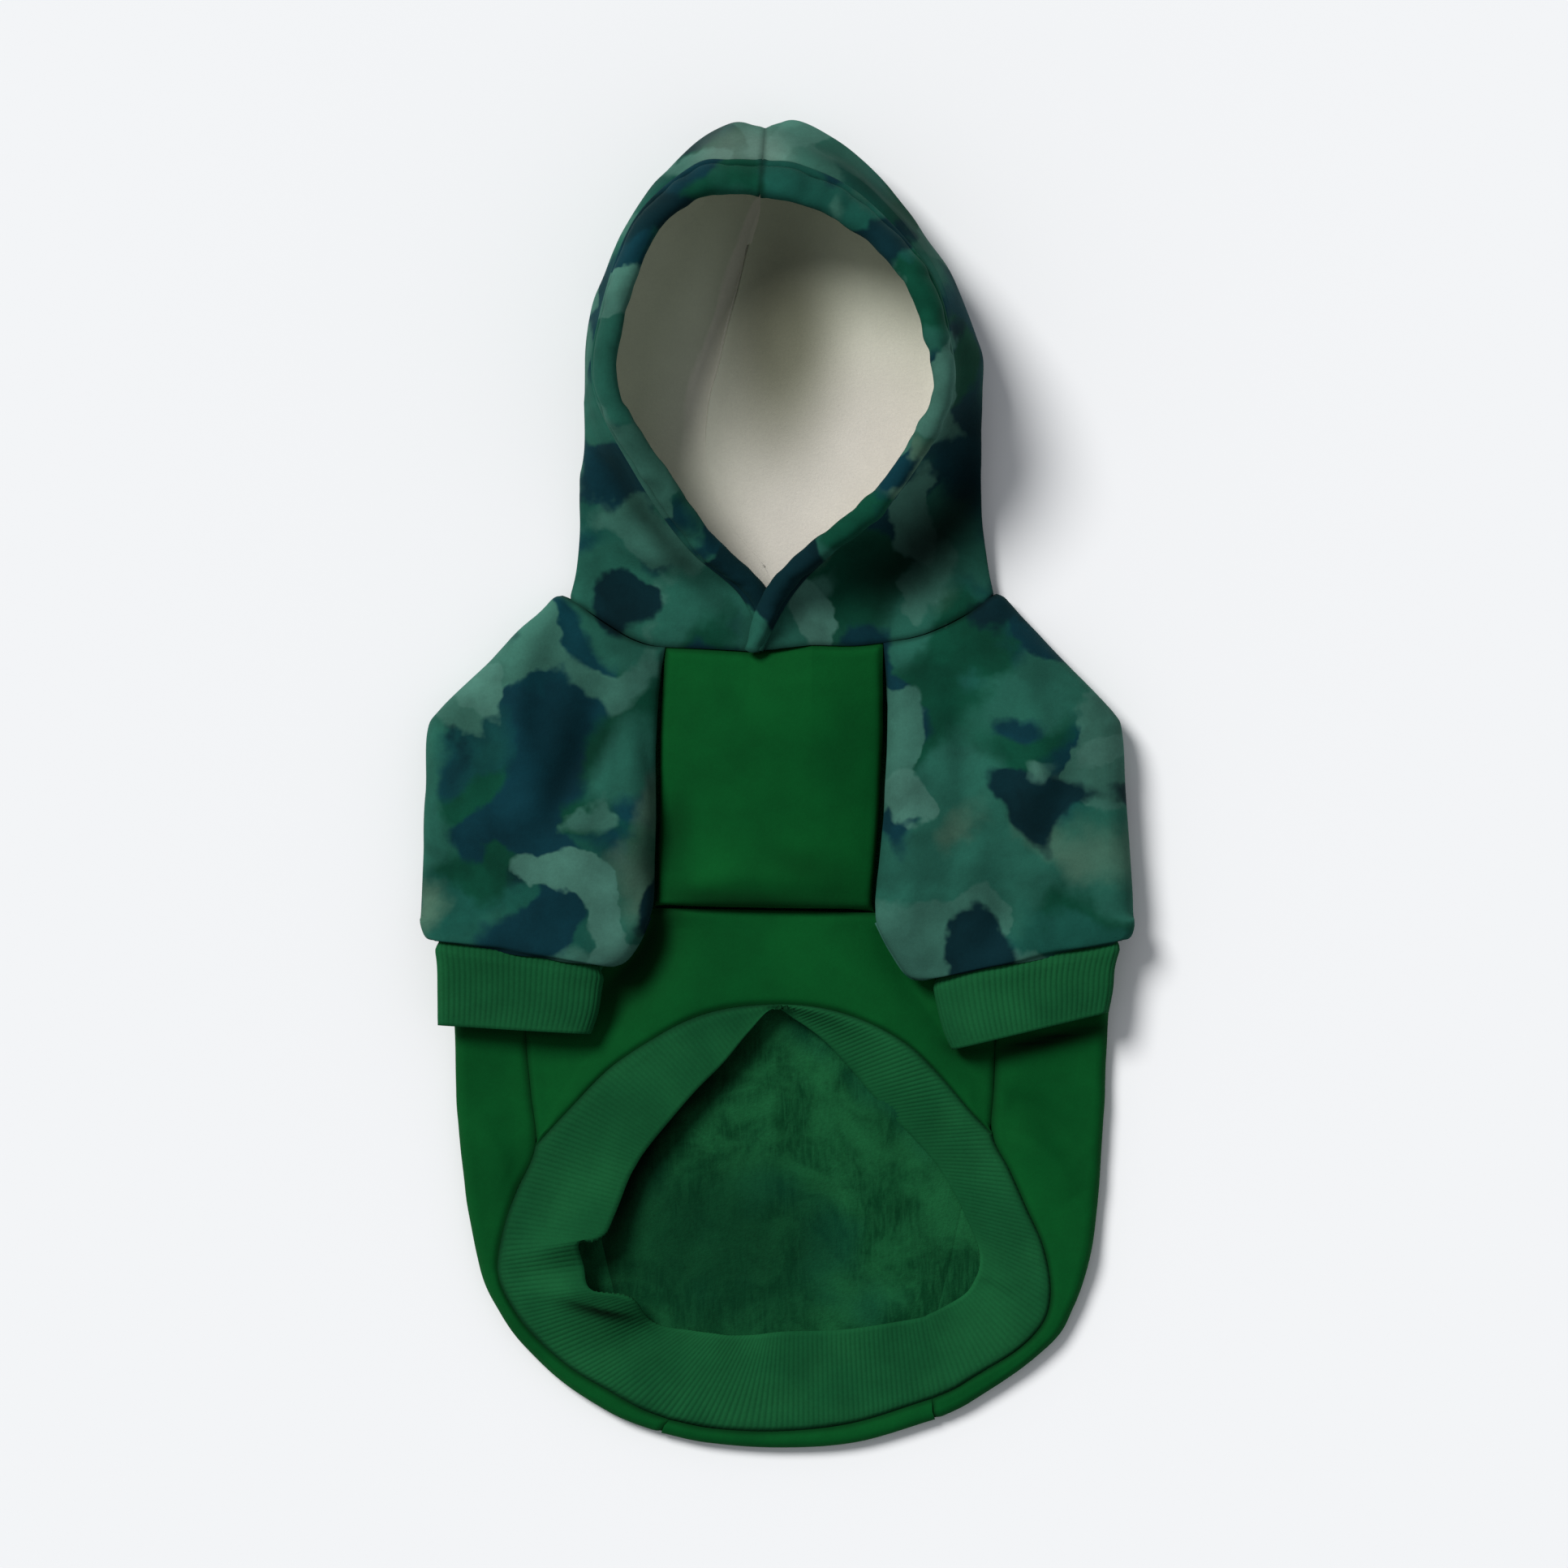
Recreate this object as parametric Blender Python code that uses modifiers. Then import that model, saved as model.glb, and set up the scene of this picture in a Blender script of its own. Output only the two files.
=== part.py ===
"""Dog hoodie laid on its back with the face opening up, built as separate sewn cloth panels in metres."""

import math

import bmesh
import bpy
import numpy as np

# Driving sizes in metres
SHOULDER_SPAN = 0.3508
HOOD_WIDTH = 0.196
HOOD_LENGTH = 0.2344
HOOD_HEIGHT = 0.080
ARMHOLE_DEPTH = 0.1512
TRUNK_LENGTH = 0.2672
CUFF_LENGTH = 0.040
TRUNK_WIDTH = SHOULDER_SPAN * 0.918
EDGE_HEIGHT = 0.012
BELLY_RISE = 0.0055
SLEEVE_HEIGHT = 0.028
REST_GAP = 0.0025
FABRIC = 0.0022
LINING = 0.0016
LINING_GAP = 0.0005
RIB = 0.0026
HEM_WIDTH = 0.018
HEM_DEPTH = 0.005
SEAM_GAP = 0.0008
NECK_Y = 0.0922
ARMPIT_DROPS = (0.003, 0.005)

# Surface colours
COLOURS = {
    "camo_fleece": (0.035, 0.13, 0.11),
    "green_fleece": (0.006, 0.085, 0.027),
    "green_rib": (0.012, 0.115, 0.04),
    "hood_lining": (0.75, 0.73, 0.68),
}

# face edge x, y, height, wall slope in degrees, outline x, y, height, floor seam x, y, height
HOOD_LEFT = (
    (-0.051, -0.002, 0.325, 20, -1.006, 0.055, 0.1, -0.031, 0.063, 0),
    (-0.296, 0.097, 0.525, 30, -0.982, 0.148, 0.15, -0.173, 0.166, 0.013),
    (-0.582, 0.254, 0.75, 50, -0.973, 0.268, 0.225, -0.316, 0.285, 0.037),
    (-0.839, 0.418, 0.925, 65, -0.965, 0.439, 0.3, -0.378, 0.404, 0.075),
    (-0.806, 0.589, 1, 65, -0.929, 0.584, 0.325, -0.373, 0.49, 0.1),
    (-0.643, 0.763, 1, 60, -0.724, 0.785, 0.325, -0.341, 0.558, 0.1),
    (-0.39, 0.843, 0.95, 45, -0.439, 0.933, 0.312, -0.284, 0.626, 0.075),
    (-0.235, 0.848, 0.912, 42, -0.227, 0.991, 0.3, -0.202, 0.708, 0.037),
    (-0.08, 0.845, 0.875, 40, -0.059, 0.985, 0.3, -0.104, 0.811, 0.005),
)

# face edge x, y, height, wall slope in degrees, outline x, y, height, floor seam x, y, height
HOOD_RIGHT = (
    (-0.039, -0.002, 0.4, 25, 1.059, 0.063, 0.1, -0.031, 0.063, 0),
    (0.173, 0.08, 0.55, 45, 1.039, 0.148, 0.15, -0.173, 0.166, 0.013),
    (0.52, 0.196, 0.75, 60, 1.035, 0.251, 0.225, -0.316, 0.285, 0.037),
    (0.818, 0.396, 0.925, 65, 1.027, 0.387, 0.3, -0.378, 0.404, 0.075),
    (0.786, 0.541, 1, 65, 0.99, 0.524, 0.325, -0.373, 0.49, 0.1),
    (0.631, 0.689, 1, 55, 0.847, 0.669, 0.325, -0.341, 0.558, 0.1),
    (0.337, 0.787, 0.963, 45, 0.512, 0.882, 0.312, -0.284, 0.626, 0.075),
    (0.112, 0.829, 0.912, 42, 0.124, 0.998, 0.3, -0.202, 0.708, 0.037),
    (-0.08, 0.845, 0.875, 40, -0.059, 0.985, 0.3, -0.104, 0.811, 0.005),
)

# x, y, height in folded edges, from the front crossing to the sleeve seam
NECK_LEFT = (
    (-0.074, 0.175, 1.35),
    (-0.2, 0.167, 1.417),
    (-0.314, 0.161, 1.25),
)

# x, y, height in folded edges, from the sleeve seam to the neck corner
NECK_LEFT_SHOULDER = (
    (-0.314, 0.161, 1.25),
    (-0.359, 0.153, 1.208),
    (-0.416, 0.127, 1.167),
    (-0.473, 0.087, 1.083),
    (-0.542, 0.034, 1),
)

# x, y, height in folded edges, from the front crossing to the sleeve seam
NECK_RIGHT = (
    (0.097, 0.153, 1.65),
    (0.211, 0.156, 1.417),
    (0.298, 0.146, 1.25),
)

# x, y, height in folded edges, from the sleeve seam to the neck corner
NECK_RIGHT_SHOULDER = (
    (0.298, 0.146, 1.25),
    (0.393, 0.124, 1.208),
    (0.462, 0.093, 1.167),
    (0.53, 0.053, 1.083),
    (0.58, 0.024, 1),
)

# inner edge x, y, outer edge x, y, back seam x, y, top height
SLEEVE_LEFT = (
    (-0.32, 0.246, -0.66, 0.04, -0.416, 0.259, 0.68),
    (-0.327, 0.352, -0.815, 0.18, -0.457, 0.378, 0.85),
    (-0.332, 0.471, -0.934, 0.339, -0.491, 0.497, 0.95),
    (-0.334, 0.59, -0.979, 0.444, -0.519, 0.59, 1),
    (-0.336, 0.722, -0.984, 0.63, -0.558, 0.722, 1),
    (-0.341, 0.854, -0.991, 0.828, -0.594, 0.854, 0.98),
    (-0.345, 0.992, -0.998, 1.019, -0.651, 0.989, 0.95),
    (-0.352, 1.04, -1, 1.048, 0, 0, 0.96),
    (-0.382, 1.119, -0.995, 1.077, 0, 0, 0.96),
    (-0.423, 1.183, -0.984, 1.103, 0, 0, 0.95),
    (-0.478, 1.206, -0.961, 1.122, 0, 0, 0.93),
)

# inner edge x, y, outer edge x, y, back seam x, y, top height
SLEEVE_RIGHT = (
    (0.3, 0.246, 0.694, 0.053, 0.416, 0.259, 0.68),
    (0.302, 0.352, 0.831, 0.225, 0.457, 0.378, 0.85),
    (0.302, 0.471, 0.936, 0.357, 0.491, 0.497, 0.95),
    (0.298, 0.59, 0.964, 0.444, 0.519, 0.59, 1),
    (0.293, 0.722, 0.977, 0.63, 0.558, 0.722, 1),
    (0.284, 0.854, 0.989, 0.828, 0.594, 0.854, 0.98),
    (0.275, 0.992, 0.998, 1.019, 0.651, 0.989, 0.95),
    (0.279, 1.045, 1, 1.045, 0, 0, 0.96),
    (0.311, 1.14, 1, 1.071, 0, 0, 0.96),
    (0.366, 1.233, 0.991, 1.101, 0, 0, 0.95),
    (0.43, 1.246, 0.968, 1.122, 0, 0, 0.93),
)

# inner edge x, y, outer edge x, y in cuff lengths below the sleeve, top height
CUFF_LEFT = (
    (-0.478, 0.32, -0.961, 0, 0.93),
    (-0.491, 0.54, -0.952, 0.29, 0.9),
    (-0.507, 0.84, -0.95, 0.67, 0.9),
    (-0.537, 1.12, -0.95, 1.01, 0.89),
)

# inner edge x, y, outer edge x, y in cuff lengths below the sleeve, top height
CUFF_RIGHT = (
    (0.43, 0.47, 0.968, 0, 0.93),
    (0.446, 0.79, 0.948, 0.29, 0.9),
    (0.466, 1.09, 0.941, 0.61, 0.9),
    (0.489, 1.31, 0.929, 0.92, 0.89),
)

# top seam x, y, outline x, y, back seam x, y, edge height
SIDE_LEFT = (
    (-0.752, 0.02, -0.985, 0.016, -0.709, 0.002, 1),
    (-0.759, 0.112, -0.998, 0.112, -0.687, 0.112, 1),
    (-0.769, 0.232, -0.988, 0.225, -0.665, 0.22, 1),
    (-0.754, 0.344, -0.983, 0.352, -0.632, 0.352, 1),
    (-0.739, 0.445, -0.97, 0.449, -0.602, 0.445, 1),
    (-0.794, 0.524, -0.958, 0.516, -0.573, 0.524, 1),
    (-0.829, 0.581, -0.943, 0.576, -0.55, 0.584, 1),
    (-0.851, 0.641, -0.92, 0.644, -0.525, 0.648, 1),
    (-0.851, 0.684, -0.896, 0.696, -0.503, 0.704, 0.95),
    (-0.821, 0.729, -0.856, 0.743, -0.478, 0.756, 0.9),
    (-0.752, 0.787, -0.786, 0.804, -0.448, 0.804, 0.85),
    (-0.64, 0.849, -0.675, 0.871, -0.416, 0.856, 0.8),
    (-0.516, 0.894, -0.545, 0.924, -0.389, 0.897, 0.75),
    (-0.416, 0.928, -0.441, 0.955, -0.361, 0.925, 0.72),
    (-0.329, 0.948, -0.354, 0.973, -0.332, 0.939, 0.7),
)

# top seam x, y, outline x, y, back seam x, y, edge height
SIDE_RIGHT = (
    (0.677, 0.02, 1.005, 0.016, 0.709, 0.002, 1),
    (0.672, 0.112, 1.02, 0.112, 0.687, 0.112, 1),
    (0.667, 0.232, 1.012, 0.22, 0.665, 0.22, 1),
    (0.662, 0.337, 1.005, 0.344, 0.635, 0.344, 1),
    (0.657, 0.422, 0.995, 0.442, 0.61, 0.442, 1),
    (0.709, 0.487, 0.988, 0.509, 0.583, 0.509, 1),
    (0.764, 0.561, 0.978, 0.572, 0.558, 0.576, 1),
    (0.809, 0.621, 0.963, 0.639, 0.533, 0.644, 1),
    (0.834, 0.689, 0.935, 0.701, 0.511, 0.699, 0.95),
    (0.831, 0.741, 0.906, 0.744, 0.493, 0.741, 0.9),
    (0.801, 0.78, 0.863, 0.793, 0.478, 0.786, 0.85),
    (0.727, 0.823, 0.757, 0.85, 0.471, 0.828, 0.8),
    (0.602, 0.868, 0.627, 0.903, 0.466, 0.861, 0.75),
    (0.54, 0.891, 0.558, 0.928, 0.463, 0.88, 0.72),
    (0.473, 0.909, 0.483, 0.948, 0.456, 0.9, 0.7),
)

# rib seam x, y, outline x, y, back x, y
HEM_STRIP = (
    (-0.329, 0.948, -0.354, 0.973, -0.332, 0.939),
    (-0.193, 0.964, -0.212, 0.991, -0.168, 0.939),
    (0.006, 0.969, 0.006, 1, 0.031, 0.936),
    (0.23, 0.954, 0.242, 0.99, 0.242, 0.924),
    (0.473, 0.909, 0.483, 0.948, 0.456, 0.9),
)

# x, y, height in folded edges, along the rib seam of the belly
ARCH = (
    (-0.739, 0.445, 1.083),
    (-0.709, 0.424, 1.117),
    (-0.64, 0.379, 1.183),
    (-0.516, 0.302, 1.283),
    (-0.391, 0.25, 1.358),
    (-0.267, 0.21, 1.417),
    (-0.143, 0.189, 1.458),
    (-0.001, 0.183, 1.483),
    (0.143, 0.19, 1.458),
    (0.28, 0.216, 1.417),
    (0.404, 0.259, 1.333),
    (0.503, 0.317, 1.25),
    (0.59, 0.379, 1.15),
    (0.657, 0.422, 1.083),
)

# free edge x, y, height in folded edges, from the left side seam round the bottom
BAND_EDGE = (
    (-0.453, 0.504, 1.583),
    (-0.486, 0.564, 1.5),
    (-0.511, 0.605, 1.417),
    (-0.595, 0.609, 1.583),
    (-0.58, 0.666, 1.417),
    (-0.535, 0.705, 1.167),
    (-0.436, 0.729, 0.75),
    (-0.354, 0.766, 0.542),
    (-0.26, 0.784, 0.5),
    (-0.198, 0.789, 0.5),
    (-0.143, 0.793, 0.5),
    (-0.068, 0.792, 0.5),
    (0.019, 0.786, 0.5),
    (0.217, 0.781, 0.5),
    (0.424, 0.762, 0.5),
    (0.466, 0.753, 0.5),
    (0.508, 0.741, 0.5),
    (0.573, 0.717, 0.583),
    (0.607, 0.689, 0.667),
    (0.62, 0.66, 0.583),
    (0.615, 0.629, 0.542),
    (0.578, 0.582, 0.5),
    (0.533, 0.534, 0.5),
    (0.466, 0.481, 0.5),
    (0.404, 0.434, 0.5),
    (0.344, 0.391, 0.542),
    (0.28, 0.344, 0.583),
    (0.21, 0.289, 0.667),
    (0.135, 0.241, 0.833),
    (0.068, 0.211, 1),
    (-0.001, 0.206, 1.1),
    (-0.081, 0.229, 1.292),
    (-0.163, 0.289, 1.417),
    (-0.247, 0.34, 1.5),
    (-0.329, 0.397, 1.583),
    (-0.399, 0.449, 1.583),
    (-0.431, 0.479, 1.583),
)

# neck corner x, y, back seam x on the neck line
NECK_CORNERS = (
    (-0.585, 0.013, -0.359),
    (0.612, 0.008, 0.359),
)

# face edge x, y, height in folded edges where the hem starts at the neck
FACE_START = (
    (0.006, 0.164, 1.25),
    (-0.081, 0.175, 2.1),
)

# chest rise in folded edges, from the neck seam to the belly seam
CHEST_SWELL = (0.3, 0.42, 0.48, 0.5, 0.48, 0.4, 0.2)


def clear_scene():
    for item in list(bpy.data.objects):
        bpy.data.objects.remove(item, do_unlink=True)


def fleece(name):
    made = bpy.data.materials.new(name)
    made.use_nodes = True
    shader = made.node_tree.nodes["Principled BSDF"]
    shader.inputs["Base Color"].default_value = (*COLOURS[name], 1.0)
    shader.inputs["Roughness"].default_value = 0.9
    return made


def sleeve_point(x, y, z=0.0):
    return np.array((x * SHOULDER_SPAN / 2, NECK_Y - y * ARMHOLE_DEPTH, z))


def trunk_point(x, y, z=0.0):
    return np.array((x * TRUNK_WIDTH / 2, NECK_Y - ARMHOLE_DEPTH - y * TRUNK_LENGTH, z))


def hood_point(x, y, z=0.0):
    return np.array((x * HOOD_WIDTH / 2, NECK_Y + y * HOOD_LENGTH, z * HOOD_HEIGHT))


def cuff_point(x, y, z=0.0):
    # Cuffs start where the sleeves end, 1.122 armhole depths below the neck.
    return np.array((x * SHOULDER_SPAN / 2, NECK_Y - 1.122 * ARMHOLE_DEPTH - y * CUFF_LENGTH, z))


def curve(points, steps=12):
    """Smooth path through the points."""
    p = np.array(points, float)
    if len(p) == 2:
        return np.array([p[0] + (p[1] - p[0]) * t for t in np.linspace(0, 1, steps + 1)])
    padded = np.vstack((2 * p[0] - p[1], p, 2 * p[-1] - p[-2]))
    path = []
    for a, b, c, d in zip(padded, padded[1:], padded[2:], padded[3:]):
        for t in np.arange(steps) / steps:
            bend, twist = 2 * a - 5 * b + 4 * c - d, 3 * b - a - 3 * c + d
            path.append(0.5 * (2 * b + (c - a) * t + bend * t**2 + twist * t**3))
    return np.array(path + [p[-1]])


def along(path, count, start=0.0, end=None):
    """Points spaced evenly by length along a path, from start to end metres."""
    steps = np.linalg.norm(np.diff(path, axis=0), axis=1)
    length = np.concatenate(([0.0], np.cumsum(steps)))
    stations = np.linspace(start, length[-1] if end is None else end, count)
    return np.stack([np.interp(stations, length, path[:, axis]) for axis in range(3)], axis=1)


def arc(edge, inward, radius, low, steps=8):
    """Half circle in section round a folded edge, from its top to its bottom."""
    centre = edge + inward * radius
    turns = np.linspace(math.pi / 2, -math.pi / 2, steps + 1)
    path = [centre - inward * radius * math.cos(t) + np.array((0, 0, math.sin(t) * radius)) for t in turns]
    path = np.array(path)
    path[:, 2] += low + radius
    return path


def inward_of(edge, inner):
    flat = (inner - edge) * np.array((1, 1, 0))
    return flat / np.linalg.norm(flat)


def bezier(a, b, c, d, steps=14):
    """Curve from a to d that leaves towards b and comes in from c."""
    path = []
    for t in np.linspace(0, 1, steps):
        path.append((1 - t) ** 3 * a + 3 * (1 - t) ** 2 * t * b + 3 * (1 - t) * t**2 * c + t**3 * d)
    return np.array(path)


def rows_between(sections, count):
    """Smoothly fills in sections between the given ones."""
    sections = np.array(sections)
    shape = sections.shape[1:]
    path = curve(sections.reshape(len(sections), -1), 12)
    picks = np.linspace(0, len(path) - 1, count)
    whole = np.floor(picks).astype(int).clip(0, len(path) - 2)
    part = (picks - whole)[:, None]
    return (path[whole] * (1 - part) + path[whole + 1] * part).reshape(count, *shape)


def trim(points, first_row=1.0, last_row=1.0, first_col=1.0, last_col=1.0):
    """Draws the edges of a grid of points back from its seams by half a seam gap."""
    drawn = points.copy()
    for line, inner, share in ((0, 1, first_row), (-1, -2, last_row)):
        step = drawn[inner] - drawn[line]
        drawn[line] += step / np.linalg.norm(step, axis=1, keepdims=True) * share * SEAM_GAP / 2
    for line, inner, share in ((0, 1, first_col), (-1, -2, last_col)):
        step = drawn[:, inner] - drawn[:, line]
        drawn[:, line] += step / np.linalg.norm(step, axis=1, keepdims=True) * share * SEAM_GAP / 2
    return drawn


def panel(name, points, wall, material, closed=False, flip=False, opening=None, inset=0.0):
    """Cloth panel: a plane grid laid over the points, its outer skin, then given its wall inwards."""
    rows, cols = points.shape[:2]
    mesh = bmesh.new()
    bmesh.ops.create_grid(mesh, x_segments=cols - 1, y_segments=rows - 1, size=0.5)
    cut = []
    for face in mesh.faces:
        middle = face.calc_center_median()
        place = ((middle.y + 0.5) * (rows - 1), (middle.x + 0.5) * (cols - 1))
        if opening and opening[0] < place[0] < opening[1] and opening[2] < place[1] < opening[3]:
            cut.append(face)
    for vert in mesh.verts:
        row = round((vert.co.y + 0.5) * (rows - 1))
        col = round((vert.co.x + 0.5) * (cols - 1))
        vert.co = points[row][col]
    bmesh.ops.delete(mesh, geom=cut, context="FACES")
    if closed:
        bmesh.ops.remove_doubles(mesh, verts=mesh.verts, dist=1e-6)
    if flip:
        bmesh.ops.reverse_faces(mesh, faces=mesh.faces)
    if inset:
        mesh.normal_update()
        for vert, normal in [(v, v.normal.copy()) for v in mesh.verts]:
            vert.co -= normal * inset
    data = bpy.data.meshes.new(name)
    mesh.to_mesh(data)
    mesh.free()
    data.shade_smooth()
    made = bpy.data.objects.new(name, data)
    made.data.materials.append(material)
    PART.objects.link(made)
    if wall:
        thick = made.modifiers.new("wall", "SOLIDIFY")
        thick.thickness = wall
        thick.offset = -1
    return made


def trunk_top(x, spread=1.0):
    """Height of the belly's outer skin across the trunk."""
    swell = max(0.0, 1 - (x / (0.177 * SHOULDER_SPAN * spread)) ** 2)
    return EDGE_HEIGHT + BELLY_RISE * swell


def joined(*parts):
    """One row of points from (path, columns) parts, each spaced evenly."""
    rows = [along(path, count + 1)[min(number, 1) :] for number, (path, count) in enumerate(parts)]
    return np.vstack(rows)


def neck_paths(front, shoulder, corner):
    """Neck seam of one half: front, shoulder, folded corner, and back to the middle."""
    ahead = curve([sleeve_point(x, y, z * EDGE_HEIGHT) for x, y, z in front])
    top = curve([sleeve_point(x, y, z * EDGE_HEIGHT) for x, y, z in shoulder])
    edge, back_seam = sleeve_point(*corner[:2]), sleeve_point(corner[2], 0.02)
    fold = arc(edge, inward_of(edge, top[-1]), EDGE_HEIGHT / 2, 0.0)
    top[-1] = fold[0]
    under = np.array((fold[-1], back_seam))
    middle = np.array((back_seam, sleeve_point(0.0, 0.02)))
    return ahead, top, fold, under, middle


def hood_half(floor_spread, table, paths, face_edge):
    """Hem and shell points of one hood half, in sections from the face edge down and over the floor."""
    ahead, top, fold, under, middle = paths
    start = sleeve_point(*face_edge[:2], face_edge[2] * EDGE_HEIGHT)
    sections = [(np.vstack((start, ahead, top)), fold[:5], fold[4:], np.vstack((under, middle[1:])))]
    for ex, ey, ez, slope, ox, oy, oz, sx, sy, sz in table:
        rim, edge, seam = hood_point(ex, ey, ez), hood_point(ox, oy, oz), hood_point(sx, sy, sz)
        outward = inward_of(rim, edge)
        run = np.linalg.norm((edge - rim)[:2])
        drop = math.radians(slope)
        lean = outward * math.cos(drop) - np.array((0, 0, math.sin(drop)))
        above = edge + np.array((0, 0, edge[2] * 0.8))
        wall = bezier(rim, rim + lean * 0.4 * (run + rim[2] - edge[2]), above, edge, 60)
        steps = np.linalg.norm(wall - edge, axis=1)
        turn_at = int(np.argmax(steps < 1.1 * edge[2]))
        floor = edge - outward * edge[2] * 1.1
        floor[2] = 0.0
        below = bezier(edge, edge - np.array((0, 0, edge[2] * 0.6)), floor + outward * edge[2] * 0.5, floor)
        reach = np.linalg.norm(seam[:2] - floor[:2])
        sideways = floor_spread * 0.3 * reach * (ey < table[-1][1])
        beside = (floor - seam) * 0.15 + np.array((sideways, 0, 0))
        flat = bezier(floor, floor - outward * 0.35 * reach, seam + beside, seam, 40)
        flat[:, 2] = seam[2] * np.linspace(0, 1, 40) ** 4
        sections.append((wall[: turn_at + 1], wall[turn_at:], below, flat))
    hems = np.array([along(wall, 2, 0.0, HEM_WIDTH) for wall, *_ in sections])
    shells = []
    for wall, above, below, floor in sections:
        beyond_hem = along(wall, 60, start=HEM_WIDTH + SEAM_GAP)
        shells.append(joined((beyond_hem, WALL_COLUMNS), (above, 2), (below, 2), (floor, FLOOR_COLUMNS)))
    return rows_between(hems, HOOD_ROWS), rows_between(shells, HOOD_ROWS)


def hood_pieces(side, points, flip):
    bar, shell = points
    drawn = trim(shell, first_col=0.0)
    panel(f"hood_{side}", drawn, FABRIC, camo, flip=flip)
    panel(f"hood_lining_{side}", drawn, LINING, lining, flip=flip, inset=FABRIC + LINING_GAP)
    middle = np.array([(a + b) / 2 for a, b in bar])
    forward = np.gradient(middle, axis=0)
    rings = []
    for (a, b), ahead in zip(bar, forward):
        across = (b - a) / np.linalg.norm(b - a)
        inner = np.cross(across, ahead)
        inner /= np.linalg.norm(inner)
        if inner[2] > 0:
            inner = -inner
        centre = (a + b) / 2 + inner * HEM_DEPTH / 2
        ring = []
        for turn in np.linspace(0, 2 * math.pi, 11):
            c, s = math.cos(turn), math.sin(turn)
            wide = math.copysign(abs(c) ** 0.7, c) * HEM_WIDTH / 2
            deep = math.copysign(abs(s) ** 0.8, s) * HEM_DEPTH / 2
            ring.append(centre + across * wide - inner * deep)
        rings.append(ring)
    rings = trim(np.array(rings), first_col=0.0, last_col=0.0)
    hem = panel(f"face_hem_{side}", rings, 0.0, camo, closed=True, flip=flip)
    cap_ends(hem)


def cap_ends(made):
    mesh = bmesh.new()
    mesh.from_mesh(made.data)
    bmesh.ops.holes_fill(mesh, edges=[e for e in mesh.edges if e.is_boundary], sides=0)
    bmesh.ops.recalc_face_normals(mesh, faces=mesh.faces)
    mesh.to_mesh(made.data)
    mesh.free()
    made.data.shade_smooth()


def sleeve_section(inner, outer, low, high, seam_height, under=None):
    """Section of a sleeve from its inner edge over the top, round its outer edge and back below."""
    across = inward_of(inner, outer)
    rise = np.array((0, 0, 1.0))
    run = np.linalg.norm((outer - inner)[:2])
    bulge = (high - low) * 0.46
    far = outer - across * bulge
    foot = far + rise * low
    turn = [foot + across * bulge * math.cos(t) + rise * bulge * (1 + math.sin(t)) for t in HALF_TURN]
    turn = np.array(turn)
    if under is not None:
        start = inner + rise * seam_height
        lift = rise * (high - seam_height) * 1.25
        level = rise * (high - low) * 0.1
        end_pull = turn[0] - across * run * 0.35 + level
        top = bezier(start, start + across * run * 0.15 + lift, end_pull, turn[0])
        below = np.array((foot, under))
        return joined((top, TOP_COLUMNS), (turn[:7], 2), (turn[6:], 2), (below, TOP_COLUMNS))
    tuck = seam_height - low
    near = inner + across * tuck + rise * low
    close = [near - across * tuck * math.cos(t) + rise * tuck * (1 + math.sin(t)) for t in HALF_TURN[::-1]]
    close = np.array(close)
    puff = rise * (high - low) * 0.12
    start_pull, end_pull = close[-1] + across * run * 0.25 + puff, turn[0] - across * run * 0.35 + puff
    top = bezier(close[-1], start_pull, end_pull, turn[0])
    below = np.array((foot, near))
    short = TOP_COLUMNS - 2
    ends = (close[6:], 2), (top, short), (turn[:7], 2), (turn[6:], 2), (below, short), (close[:7], 2)
    return joined(*ends)


def sleeve(side, table, cuff_table, paths, flip):
    """Sleeve open to the trunk above the underarm and a closed tube below it, and its cuff."""
    low_tube = EDGE_HEIGHT + REST_GAP
    _, top, fold, below, _ = paths
    sections = [joined((top, TOP_COLUMNS), (fold[:5], 2), (fold[4:], 2), (below, TOP_COLUMNS))]
    for ix, iy, ox, oy, ux, uy, tall in table:
        inner, outer = sleeve_point(ix, iy), sleeve_point(ox, oy)
        high = SLEEVE_HEIGHT * tall
        if ux:
            sections.append(sleeve_section(inner, outer, 0.0, high, 1.2 * EDGE_HEIGHT, sleeve_point(ux, uy)))
        else:
            middle = low_tube + (high - low_tube) * 0.45
            sections.append(sleeve_section(inner, outer, low_tube, high, middle))
    grid = np.array(sections)
    tubes = 8
    tube = trim(grid[tubes:], first_row=0.0, first_col=0.0, last_col=0.0)
    openwork = trim(grid[:tubes], last_row=0.0)
    outermost = TOP_COLUMNS + 2
    openwork[-1, outermost + 1 :] = trim(grid[:tubes])[-1, outermost + 1 :]
    whole = np.vstack((openwork, tube))
    made = panel(
        f"sleeve_{side}", whole, FABRIC, camo, flip=flip, closed=True,
        opening=(tubes - 1, tubes, outermost + 1, 2 * outermost),
    )
    rings = []
    for ix, iy, ox, oy, tall in cuff_table:
        high = SLEEVE_HEIGHT * tall
        middle = low_tube + (high - low_tube) * 0.45
        rings.append(sleeve_section(cuff_point(ix, iy), cuff_point(ox, oy), low_tube, high, middle))
    rings = rows_between(rings, 6)
    cuff = trim(rings, first_col=0.0, last_col=0.0)
    panel(f"cuff_{side}", cuff, RIB, rib, closed=True, flip=flip)


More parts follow.
